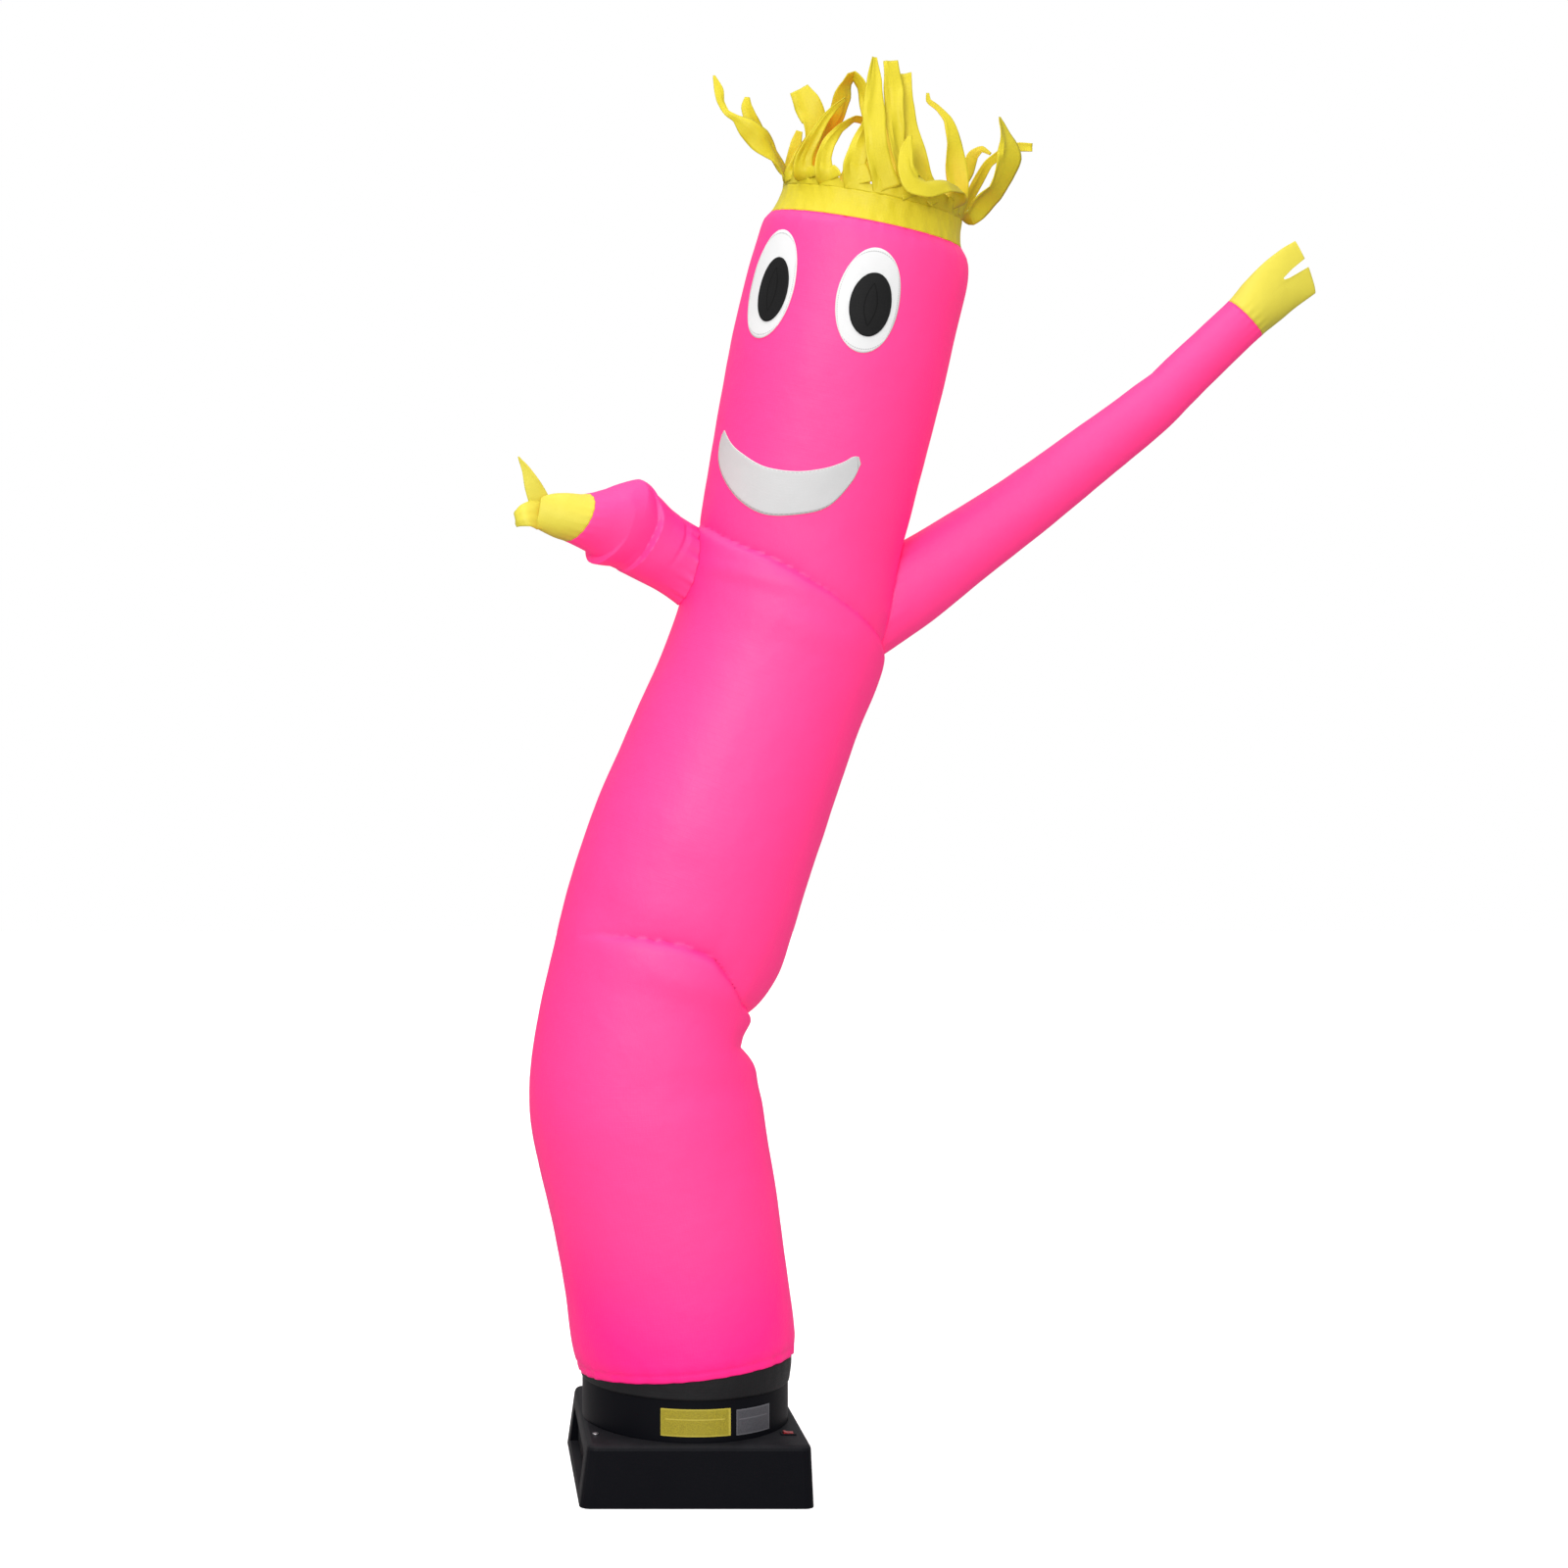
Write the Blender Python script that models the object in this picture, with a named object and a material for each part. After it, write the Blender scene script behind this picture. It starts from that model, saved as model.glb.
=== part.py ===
"""Inflatable tube dancer, bent over to one side, standing on its blower.

Metres, +Z up. The origin is on the floor, under the middle of the blower, and the
blower's front faces -Y. All the cloth is cut as flat grids, which are rolled or laid
onto the shape that the blown-up tube has, and then given their thickness.
"""

import math

import bmesh
import bpy
from mathutils import Matrix, Vector

# Driving dimensions
CLOTH = 0.002  # thickness of the nylon
PATCH = 0.0011  # thickness of the sewn-on face pieces
STICKER = 0.0008
FIT = 0.0003  # gap that pieces which meet keep
LAY = 0.0005  # height of a patch's underside over the cloth, so that its flat facets clear it
BODY_SIDES = 28
LIMB_SIDES = 18

BASE_WIDTH = 0.333
BASE_DEPTH = 0.337
BASE_HEIGHT = 0.088
BASE_DRAFT = dict(left=0.012, right=0.0035, front=0.004, back=0.004)  # slope of each side over the base's height
BASE_CORNER = 0.014
BASE_EDGE = 0.007
CHAMBER_RADIUS = 0.1475
CHAMBER_FLOOR = 0.010
COLLAR_RADIUS = 0.1525
COLLAR_WALL = 0.004
COLLAR_TOP = 0.215
COLLAR_SIDES = 48

INTAKE_Y = (-0.118, 0.118)
INTAKE_Z = (0.014, 0.066)
INTAKE_DEPTH = 0.055
GRILLE_THICKNESS = 0.004
GRILLE_SLOTS = 11
GRILLE_SLOT_WIDTH = 0.011
GRILLE_SLANT = math.radians(24)

SWITCH_AT = (0.138, -0.104)
SWITCH_HOLE = (0.0160, 0.0106)
SWITCH_HOLE_DEPTH = 0.010
SWITCH_RIM = 0.0028
SWITCH_RIM_HEIGHT = 0.0016
SWITCH_TILT = math.radians(7)  # the rocker rests pressed down on one side
ROCKER = dict(half_length=0.0070, half_width=0.0050, peak=0.0032, end=0.0024, under=0.0030, foot=0.0045)
SCREWS_AT = ((-0.140, -0.106), (-0.140, 0.106), (0.140, 0.106))
SCREW_RADIUS = 0.0042
SCREW_HEIGHT = 0.0018
GLAND_AT = (0.105, 0.036)
GLAND_RADIUS = 0.009
GLAND_LENGTH = 0.020

LABELS = (
    # name, turn of its left and right edge from the front, bottom, top
    ("label_yellow", -19.0, 19.0, 0.0975, 0.1365, "sticker_yellow"),
    ("label_grey", 22.5, 46.0, 0.0965, 0.1330, "sticker_grey"),
)

# The body's cross-sections from the hem up: the middle of each, how far it leans to the
# right and nods forward, in degrees, and its radius.
BODY_COLUMNS = ("x", "y", "z", "lean", "nod", "radius")
BODY = (
    (0.0022, 0.000, 0.1662, -3.7, -2.7, 0.1608),
    (-0.0020, 0.000, 0.1983, -6.0, -2.0, 0.1656),
    (-0.0147, 0.001, 0.2962, -9.0, -1.0, 0.1652),
    (-0.0294, 0.001, 0.3882, -9.3, 0.0, 0.1679),
    (-0.0462, 0.000, 0.4715, -9.0, 0.0, 0.1703),
    (-0.0578, 0.000, 0.5387, -5.0, 0.0, 0.1726),
    (-0.0615, 0.000, 0.5884, 0.0, 0.0, 0.1695),
    (-0.0549, 0.000, 0.6395, 6.0, 0.0, 0.1685),
    (-0.0396, 0.000, 0.7301, 15.0, 0.0, 0.1640),
    (-0.0104, 0.000, 0.8294, 17.5, 0.0, 0.1693),
    (0.0247, 0.000, 0.9389, 20.5, 0.0, 0.1676),
    (0.0532, 0.000, 1.0135, 21.0, 0.0, 0.1637),
    (0.0831, 0.000, 1.0909, 21.3, 0.0, 0.1599),
    (0.1109, 0.000, 1.1610, 21.8, 0.0, 0.1567),
    (0.1380, 0.000, 1.2311, 20.0, 0.5, 0.1580),
    (0.1547, -0.005, 1.3008, 16.0, 3.0, 0.1560),
    (0.1678, -0.014, 1.3901, 12.7, 6.0, 0.1511),
    (0.1822, -0.024, 1.4613, 12.7, 8.0, 0.1528),
    (0.2011, -0.040, 1.5600, 12.8, 9.0, 0.1562),
    (0.2174, -0.054, 1.6437, 13.0, 9.5, 0.1582),
    (0.2349, -0.068, 1.7267, 13.4, 10.0, 0.1572),
    (0.2474, -0.078, 1.7828, 13.4, 10.0, 0.1539),
    (0.2514, -0.083, 1.8129, 12.8, 10.0, 0.1477),
    (0.2522, -0.086, 1.8278, 11.7, 10.0, 0.1386),
)
# Ring spacing of the body: up to each height, the rings are about this far apart.
BODY_RINGS = ((0.20, 0.016), (0.58, 0.050), (0.84, 0.017), (1.24, 0.050), (1.40, 0.023), (1.76, 0.048), (1.83, 0.014))

# Folds that cross the body. Each row gives the turn from the front in degrees, the height
# of the section that the fold crosses there, and its depth. Above a fold the cloth falls
# in slowly, and below it the cloth comes out within a short step.
FOLD_COLUMNS = ("turn", "z", "depth")
SHOULDER_FOLD = dict(
    above=0.045,
    below=0.013,
    rows=(
        (-118, 1.380, 0.0),
        (-76, 1.374, 0.007),
        (-46, 1.357, 0.008),
        (-8, 1.336, 0.009),
        (28, 1.3065, 0.010),
        (71, 1.274, 0.012),
        (100, 1.264, 0.009),
        (150, 1.290, 0.002),
        (190, 1.330, 0.0),
    ),
)
WAIST_FOLD = dict(
    above=0.050,
    below=0.011,
    rows=(
        (-62, 0.764, 0.0),
        (-45, 0.776, 0.005),
        (-12, 0.793, 0.009),
        (3, 0.797, 0.010),
        (20, 0.791, 0.012),
        (32, 0.771, 0.014),
        (48, 0.738, 0.015),
        (84, 0.712, 0.015),
        (125, 0.735, 0.014),
        (165, 0.780, 0.008),
        (205, 0.800, 0.0),
    ),
)
LOWER_WAIST_FOLD = dict(
    above=0.012,
    below=0.022,
    rows=(
        (42, 0.655, 0.0),
        (66, 0.650, 0.006),
        (84, 0.647, 0.011),
        (110, 0.650, 0.007),
        (140, 0.655, 0.0),
    ),
)
FOLDS = (SHOULDER_FOLD, WAIST_FOLD, LOWER_WAIST_FOLD)
# Wide soft forms: turn and height of the middle, their spread, and how far the cloth stands out.
BODY_SWELLS = (
    # turn, z, spread in degrees, spread in height, height of the swell
    (86, 0.680, 42, 0.048, -0.027),
    (84, 0.790, 34, 0.036, 0.007),
    (8, 0.745, 30, 0.028, 0.004),
    (-10, 0.880, 34, 0.045, -0.004),
    (20, 1.255, 40, 0.030, 0.003),
)

LIMB_COLUMNS = ("x", "y", "z", "wide", "deep")
RIGHT_ARM = (
    (0.2350, 0.000, 1.2580, 0.066, 0.066),
    (0.3300, 0.000, 1.3190, 0.063, 0.063),
    (0.4000, -0.002, 1.3680, 0.0565, 0.057),
    (0.5000, -0.004, 1.4380, 0.0495, 0.050),
    (0.6000, -0.006, 1.5145, 0.0447, 0.045),
    (0.6900, -0.008, 1.5850, 0.0400, 0.040),
    (0.7600, -0.009, 1.6504, 0.0366, 0.037),
    (0.8326, -0.010, 1.7194, 0.0354, 0.0354),
)
LEFT_ARM = (
    (0.0650, 0.000, 1.3100, 0.054, 0.054),
    (0.0075, -0.004, 1.3510, 0.054, 0.054),
    (-0.0450, -0.022, 1.3850, 0.060, 0.055),
    (-0.0900, -0.050, 1.4130, 0.066, 0.056),
    (-0.1300, -0.074, 1.4120, 0.049, 0.047),
    (-0.1629, -0.090, 1.4120, 0.0389, 0.0389),
)
RIGHT_HAND = (
    (0.8560, -0.010, 1.7440, 0.0385, 0.026),
    (0.8800, -0.010, 1.7660, 0.0410, 0.017),
    (0.9050, -0.010, 1.7850, 0.0425, 0.011),
    (0.9225, -0.010, 1.7975, 0.0425, 0.008),
)
LEFT_HAND = (
    (-0.1850, -0.100, 1.4200, 0.0370, 0.026),
    (-0.2050, -0.108, 1.4235, 0.0280, 0.014),
    (-0.2200, -0.112, 1.4190, 0.0215, 0.009),
    (-0.2400, -0.114, 1.4120, 0.0200, 0.007),
)
HAND_CLOTH = 0.0016
WRIST_GAP = 0.0008
ARM_RINGS = 11
ARM_HOLE_REACH = 0.15  # how far along an arm its hole in the body is cut
ARM_HOLE_MARGIN = CLOTH + 0.001  # how much narrower than the arm that hole is, all round
HAND_RINGS = 6
# The slit between the fingers of the right hand, as its corners seen from the front.
RIGHT_SLIT = ((0.9020, 1.7880), (0.9020, 1.7810), (0.9500, 1.8080), (0.9300, 1.8180))
LEFT_FINGER = dict(root=(-0.2080, -0.108, 1.4380), bend=(-0.2200, -0.113, 1.4700), tip=(-0.2460, -0.118, 1.5060), wide=0.013)

# Face: the turn and height of each piece's middle on the head, with its half-width and half-height.
EYES = (
    # name, then the turn and height of its middle, half-width, half-height and lean: of the white, of the pupil
    ("left", (-55.2, 1.7200, 0.0465, 0.0775, -3.0), (-51.5, 1.7130, 0.0275, 0.0455, -3.0)),
    ("right", (1.2, 1.7225, 0.0445, 0.0725, -4.0), (2.7, 1.7180, 0.0290, 0.0440, -4.0)),
)
# The mouth's edges, as the turn and height of each point from its left end to its right end.
MOUTH_UPPER = (
    (-69.5, 1.5150),
    (-60.0, 1.4980),
    (-50.4, 1.4876),
    (-34.2, 1.4754),
    (-17.5, 1.4770),
    (-3.7, 1.4883),
    (6.0, 1.5025),
    (14.4, 1.5160),
)
MOUTH_LOWER = (
    (-72.4, 1.5040),
    (-71.0, 1.4720),
    (-62.0, 1.4480),
    (-45.0, 1.4200),
    (-28.0, 1.4080),
    (-10.0, 1.4180),
    (4.0, 1.4380),
    (16.4, 1.5070),
)

BAND_HEIGHT = 0.038
BAND_TOP_RADIUS = 0.131
STRIP_HEIGHT = 0.008
STRIP_CLOTH = 0.0022
RIBBON_ROOTS = 20  # places round the strip where a ribbon may stand
ROOT_SHARE = 0.84  # share of each place that the ribbon's root takes
RIBBON_SEGMENTS = 11
RIBBON_CLEAR = 0.018  # a route's first point this near the root, or nearer, is left out
# Cut ribbons of the hair. Each has its place round the strip and its route from the root:
# millimetres right, back and up from the middle of the strip, its width, and its turn about
# its own length in degrees.
RIBBONS = (
    # far left
    (15, (
        (-129, -6, 37, 28, 55),
        (-146, -16, 59, 28, 35),
        (-168, -24, 79, 34, 10),
        (-187, -28, 95, 28, 0),
        (-202, -28, 108, 10, -20),
        (-215, -26, 117, 8, -10),
        (-223, -22, 134, 13, 10),
        (-225, -20, 151, 14, 0),
        (-232, -18, 173, 3, 10),
    )),
    # left lobe
    (14, (
        (-121, 42, 48, 20, 55),
        (-141, 38, 81, 22, 30),
        (-161, 34, 104, 26, 10),
        (-173, 28, 125, 21, 0),
        (-179, 26, 142, 17, 0),
        (-178, 26, 156, 7, 10),
    )),
    # second
    (17, (
        (-114, -80, 21, 28, 0),
        (-112, -84, 36, 25, 0),
        (-103, -88, 56, 21, 5),
        (-93, -90, 74, 15, 10),
        (-83, -88, 90, 12, 20),
        (-70, -84, 105, 10, 30),
        (-54, -80, 119, 6, 30),
    )),
    # flag
    (16, (
        (-116, -36, 36, 24, 10),
        (-106, -30, 56, 21, 10),
        (-93, -30, 78, 20, 5),
        (-89, -30, 103, 35, 0),
        (-100, -28, 130, 37, 0),
        (-111, -26, 151, 30, 5),
    )),
    # third
    (18, (
        (-89, -108, 13, 27, 0),
        (-89, -108, 29, 23, 5),
        (-82, -106, 49, 19, 10),
        (-65, -100, 71, 12, 20),
        (-43, -92, 87, 11, 30),
        (-25, -84, 86, 11, 40),
    )),
    # loop
    (12, (
        (-72, 86, 61, 26, 0),
        (-70, 62, 88, 22, 0),
        (-63, 24, 106, 23, 5),
        (-53, -4, 122, 27, 10),
        (-47, -16, 143, 30, 25),
        (-42, -20, 160, 23, 65),
        (-34, -28, 170, 17, 88),
        (-24, -38, 154, 20, 70),
        (-17, -42, 131, 22, 25),
        (-14, -44, 104, 18, 0),
    )),
    # middle left
    (19, (
        (-50, -130, 12, 33, 5),
        (-43, -128, 37, 29, -6),
        (-33, -120, 62, 20, 8),
        (-25, -114, 87, 12, 0),
    )),
    # middle
    (0, (
        (-15, -138, 6, 31, 0),
        (-22, -140, 36, 31, -8),
        (-25, -136, 86, 30, 8),
        (-23, -132, 128, 22, -6),
        (-22, -128, 162, 7, 0),
    )),
    # middle right
    (1, (
        (23, -126, 2, 27, 0),
        (12, -128, 31, 24, 10),
        (5, -128, 86, 26, -8),
        (5, -122, 128, 26, 8),
        (2, -118, 160, 22, -4),
    )),
    # right of middle
    (2, (
        (51, -106, -3, 30, 0),
        (40, -112, 25, 30, 8),
        (32, -112, 63, 23, -6),
        (27, -108, 108, 18, 8),
        (26, -104, 148, 16, 0),
    )),
    # laid over
    (3, (
        (102, -96, -14, 21, 38),
        (77, -128, -18, 23, 40),
        (46, -145, -28, 27, 28),
        (25, -150, -20, 30, 10),
        (16, -152, 1, 24, -5),
        (17, -150, 25, 18, 5),
        (23, -148, 47, 4, 0),
    )),
    # right slender
    (4, (
        (115, -46, -6, 28, 15),
        (112, -50, 13, 29, 8),
        (109, -54, 34, 31, 5),
        (106, -56, 64, 24, 10),
        (97, -54, 97, 13, 10),
        (83, -52, 115, 8, 0),
        (70, -50, 126, 7, 0),
        (69, -48, 138, 4, 0),
    )),
    # far right
    (5, (
        (141, -4, -28, 23, 40),
        (155, -8, -15, 34, 20),
        (176, -12, 5, 35, 8),
        (187, -16, 31, 37, 0),
        (193, -18, 56, 38, 0),
        (191, -20, 76, 30, 5),
        (185, -20, 96, 17, 10),
        (179, -20, 113, 4, 0),
    )),
    # far right fold
    (6, (
        (144, 44, 0, 20, 40),
        (161, 44, 34, 17, 30),
        (178, 42, 64, 14, 10),
        (197, 40, 78, 14, 0),
        (220, 38, 87, 13, 0),
        (241, 36, 86, 13, 0),
    )),
    # right behind
    (7, (
        (116, 80, 10, 19, 12),
        (138, 86, 33, 19, 12),
        (157, 86, 64, 20, 0),
        (165, 84, 88, 16, 0),
        (177, 80, 97, 10, 10),
        (190, 76, 88, 4, 10),
    )),
    # back 1
    (8, (
        (83, 110, 35, 26, 0),
        (85, 114, 78, 24, 8),
        (79, 114, 119, 18, -8),
        (74, 110, 153, 12, 8),
    )),
    # back 2
    (9, (
        (48, 128, 46, 30, 0),
        (54, 134, 101, 27, 8),
        (53, 136, 152, 22, -8),
        (55, 132, 195, 12, 8),
    )),
    # back 3
    (10, (
        (8, 134, 57, 27, 0),
        (15, 140, 97, 24, -8),
        (24, 140, 148, 21, 8),
        (28, 136, 197, 13, -8),
    )),
    # back 4
    (11, (
        (-19, 128, 55, 24, 0),
        (-7, 132, 83, 22, 8),
        (5, 130, 115, 18, -8),
        (10, 128, 141, 10, 8),
    )),
    # back 6
    (13, (
        (-107, 76, 61, 22, 20),
        (-103, 76, 84, 20, 10),
        (-99, 76, 104, 17, -5),
        (-94, 76, 122, 10, 0),
    )),
)

CUFF = (
    # x, z, outer radius of the black cuff
    (0.0000, 0.1490, 0.1542),
    (0.0008, 0.1600, 0.1562),
    (0.0012, 0.1720, 0.1572),
    (0.0010, 0.1860, 0.1581),
)
CUFF_CLOTH = 0.0014

# Colours as linear values
PINK = (1.0, 0.075, 0.36)
YELLOW = (0.93, 0.76, 0.06)
WHITE = (0.88, 0.88, 0.88)
BLACK = (0.022, 0.022, 0.025)
BLACK_CLOTH = (0.018, 0.018, 0.02)
STICKER_YELLOW = (0.46, 0.40, 0.03)
STICKER_GREY = (0.10, 0.10, 0.12)
RED = (0.42, 0.02, 0.03)
STEEL = (0.6, 0.6, 0.62)


def clear_scene():
    for obj in list(bpy.data.objects):
        bpy.data.objects.remove(obj, do_unlink=True)


def make_material(name, colour, roughness, metallic=0.0):
    material = bpy.data.materials.new(name)
    material.use_nodes = True
    shader = material.node_tree.nodes["Principled BSDF"]
    shader.inputs["Base Color"].default_value = (*colour, 1.0)
    shader.inputs["Roughness"].default_value = roughness
    shader.inputs["Metallic"].default_value = metallic
    material.diffuse_color = (*colour, 1.0)
    return material


def add_object(name, bm, material, smooth_angle=40):
    """Puts a bmesh into the scene as one object, smooth but for its sharp edges."""
    mesh = bpy.data.meshes.new(name)
    bm.to_mesh(mesh)
    bm.free()
    mesh.shade_smooth()
    mesh.set_sharp_from_angle(angle=math.radians(smooth_angle))
    obj = bpy.data.objects.new(name, mesh)
    bpy.context.scene.collection.objects.link(obj)
    obj.data.materials.append(material)
    return obj


def add_cutter(name, bm):
    """A closed shape that is only used to cut others."""
    mesh = bpy.data.meshes.new(name)
    bm.to_mesh(mesh)
    bm.free()
    obj = bpy.data.objects.new(name, mesh)
    bpy.context.scene.collection.objects.link(obj)
    obj.hide_render = True
    obj.display_type = "WIRE"
    return obj


def cut(obj, cutter):
    modifier = obj.modifiers.new(f"cut by {cutter.name}", "BOOLEAN")
    modifier.operation = "DIFFERENCE"
    modifier.solver = "EXACT"
    modifier.object = cutter


def join(obj, other):
    modifier = obj.modifiers.new(f"joined with {other.name}", "BOOLEAN")
    modifier.operation = "UNION"
    modifier.solver = "EXACT"
    modifier.object = other


def thicken(obj, thickness, offset=-1.0):
    """Gives a sheet its thickness; an offset of -1 keeps the modelled side outermost."""
    modifier = obj.modifiers.new("cloth", "SOLIDIFY")
    modifier.thickness = thickness
    modifier.offset = offset
    modifier.use_even_offset = True


def smooth_between(keys, rows, at):
    """The row of values at a place between rows, on a curve that keeps its slope at each row."""
    if at <= keys[0]:
        i, t = 0, 0.0
    elif at >= keys[-1]:
        i, t = len(keys) - 2, 1.0
    else:
        i = max(k for k in range(len(keys) - 1) if keys[k] <= at)
        t = (at - keys[i]) / (keys[i + 1] - keys[i])
    step = keys[i + 1] - keys[i]

    def slope(k, column):
        low, high = max(k - 1, 0), min(k + 1, len(keys) - 1)
        return (rows[high][column] - rows[low][column]) / (keys[high] - keys[low])

    out = []
    for column in range(len(rows[0])):
        a, b = rows[i][column], rows[i + 1][column]
        sa, sb = slope(i, column) * step, slope(i + 1, column) * step
        out.append(
            a * (2 * t**3 - 3 * t**2 + 1)
            + sa * (t**3 - 2 * t**2 + t)
            + b * (3 * t**2 - 2 * t**3)
            + sb * (t**3 - t**2)
        )
    return out


def straight_between(rows, at):
    """The last columns of a table at a value of its first column, on straight lines."""
    if at <= rows[0][0]:
        return rows[0][1:]
    for low, high in zip(rows, rows[1:]):
        if at <= high[0]:
            t = (at - low[0]) / (high[0] - low[0])
            return tuple(a + (b - a) * t for a, b in zip(low[1:], high[1:]))
    return rows[-1][1:]


BODY_HEIGHTS = [row[BODY_COLUMNS.index("z")] for row in BODY]


def body_section(z):
    """The middle of the body's cross-section at a height, its upward, right and backward directions, and its radius."""
    x, y, z_mid, lean, nod, radius = smooth_between(BODY_HEIGHTS, BODY, z)
    lean, nod = math.radians(lean), math.radians(nod)
    up = Vector((math.sin(lean) * math.cos(nod), -math.sin(nod), math.cos(lean) * math.cos(nod)))
    right = Vector((0, 1, 0)).cross(up).normalized()
    return Vector((x, y, z_mid)), up, right, up.cross(right), radius


def fold_depth(fold, turn, z):
    """How far a fold draws the cloth in at a turn from the front, in degrees, and a height."""
    first = fold["rows"][0][0]
    turn = (turn - first) % 360 + first
    fold_z, depth = straight_between(fold["rows"], turn)
    if turn >= fold["rows"][-1][0]:
        return 0.0
    away = z - fold_z
    reach = fold["above"] if away > 0 else fold["below"]
    return depth * math.exp(-((away / reach) ** 2))


def swell_height(turn, z):
    total = 0.0
    for mid_turn, mid_z, spread_turn, spread_z, height in BODY_SWELLS:
        off = (turn - mid_turn + 180) % 360 - 180
        total += height * math.exp(-((off / spread_turn) ** 2) - ((z - mid_z) / spread_z) ** 2)
    return total


def body_point(turn, z, lift=0.0):
    """A point on the body's cloth: turn is in degrees from the front, positive to the right."""
    middle, _, right, back, radius = body_section(z)
    radius += lift + swell_height(turn, z) - sum(fold_depth(fold, turn, z) for fold in FOLDS)
    angle = math.radians(turn)
    return middle + radius * (math.sin(angle) * right - math.cos(angle) * back)


def body_ring_heights():
    heights, z = [], BODY_HEIGHTS[0]
    for top, step in BODY_RINGS:
        top = min(top, BODY_HEIGHTS[-1])
        count = max(1, round((top - z) / step))
        heights += [z + (top - z) * i / count for i in range(count)]
        z = top
    return heights + [BODY_HEIGHTS[-1]]


def rolled_sheet(sides, rows, point, capped=False):
    """A flat grid rolled into a tube: point(turn, row) places each corner, and capped closes the ends."""
    bm = bmesh.new()
    bmesh.ops.create_grid(bm, x_segments=sides, y_segments=rows - 1, size=1.0)
    for v in bm.verts:
        turn = v.co.x * 180.0
        row = round((v.co.y + 1) / 2 * (rows - 1))
        v.co = point(turn, row)
    bmesh.ops.remove_doubles(bm, verts=bm.verts, dist=1e-5)
    bmesh.ops.triangulate(bm, faces=bm.faces, quad_method="FIXED")
    if capped:
        bmesh.ops.holes_fill(bm, edges=[e for e in bm.edges if e.is_boundary], sides=0)
    bmesh.ops.recalc_face_normals(bm, faces=bm.faces)
    return bm


def laid_sheet(across, along, point):
    """A flat grid laid on a surface: point(a, b) places each corner, with a and b from -1 to 1."""
    bm = bmesh.new()
    bmesh.ops.create_grid(bm, x_segments=across, y_segments=along, size=1.0)
    for v in bm.verts:
        v.co = point(v.co.x, v.co.y)
    return bm


def face_outward(bm, centre):
    """Turns an open sheet so that its faces look away from a point inside the object."""
    bmesh.ops.recalc_face_normals(bm, faces=bm.faces)
    face = max(bm.faces, key=lambda f: f.calc_area())
    if (face.calc_center_median() - centre).dot(face.normal) < 0:
        bmesh.ops.reverse_faces(bm, faces=bm.faces)
    return bm


def limb_stations(rows):
    """Distance along a limb of each of its rows."""
    along = [0.0]
    for a, b in zip(rows, rows[1:]):
        along.append(along[-1] + (Vector(b[:3]) - Vector(a[:3])).length)
    return along


def limb_point(rows, turn, at, thinner=0.0, shift=0.0):
    """A point on a limb's cloth, at a distance along it; turn 0 is at its upper side."""
    along = limb_stations(rows)
    step = along[-1] * 0.01
    here = smooth_between(along, rows, at)
    ahead = Vector(smooth_between(along, rows, min(at + step, along[-1]))[:3])
    behind = Vector(smooth_between(along, rows, max(at - step, 0.0))[:3])
    forward = (ahead - behind).normalized()
    middle = Vector(here[:3]) + shift * forward
    depth = (Vector((0, 1, 0)) - forward.y * forward).normalized()
    side = depth.cross(forward)
    if side.z < 0:
        side = -side
    angle = math.radians(turn)
    wide, deep = here[3] - thinner, here[4] - thinner
    return middle + wide * math.cos(angle) * side - deep * math.sin(angle) * depth


def make_body(material):
    heights = body_ring_heights()
    bm = rolled_sheet(BODY_SIDES, len(heights), lambda turn, row: body_point(turn, heights[row]))
    body = add_object("body_tube", bm, material)
    thicken(body, CLOTH)
    return body


def make_body_cutter():
    """The body's outside, a fitting gap larger, which trims the arms where they are sewn on."""
    heights = body_ring_heights()
    bm = rolled_sheet(BODY_SIDES, len(heights), lambda turn, row: body_point(turn, heights[row], FIT), capped=True)
    return add_cutter("body_outside", bm)


def make_arm(name, arm_rows, hand_rows, body, body_cutter, material):
    """A tapered sleeve, trimmed to the body, with its hole in the body's cloth."""
    rows = arm_rows + hand_rows
    step = limb_stations(arm_rows)[-1] / (ARM_RINGS - 1)
    bm = rolled_sheet(LIMB_SIDES, ARM_RINGS, lambda turn, row: limb_point(rows, turn, row * step))
    arm = add_object(name, bm, material)
    thicken(arm, CLOTH)
    cut(arm, body_cutter)
    hole_step = ARM_HOLE_REACH / 3
    inner = rolled_sheet(
        LIMB_SIDES, 4, lambda turn, row: limb_point(rows, turn, row * hole_step, thinner=ARM_HOLE_MARGIN), capped=True
    )
    cut(body, add_cutter(f"{name}_hole", inner))
    return arm


def make_hand(name, arm_rows, hand_rows, material):
    """A sleeve end that goes from round at the wrist to nearly flat at the fingers."""
    rows = arm_rows + hand_rows
    wrist = limb_stations(arm_rows)[-1]
    step = (limb_stations(rows)[-1] - wrist) / (HAND_RINGS - 1)
    bm = rolled_sheet(LIMB_SIDES, HAND_RINGS, lambda turn, row: limb_point(rows, turn, wrist + row * step, shift=WRIST_GAP))
    hand = add_object(name, bm, material)
    thicken(hand, HAND_CLOTH)
    return hand


def extruded_outline(corners, y_low, y_high):
    """A closed block with the given corners, seen from the front, between two depths."""
    bm = bmesh.new()
    face = bm.faces.new([bm.verts.new((x, y_low, z)) for x, z in corners])
    moved = bmesh.ops.extrude_face_region(bm, geom=[face])["geom"]
    verts = [v for v in moved if isinstance(v, bmesh.types.BMVert)]
    bmesh.ops.translate(bm, verts=verts, vec=(0, y_high - y_low, 0))
    bmesh.ops.recalc_face_normals(bm, faces=bm.faces)
    return bm


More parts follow.
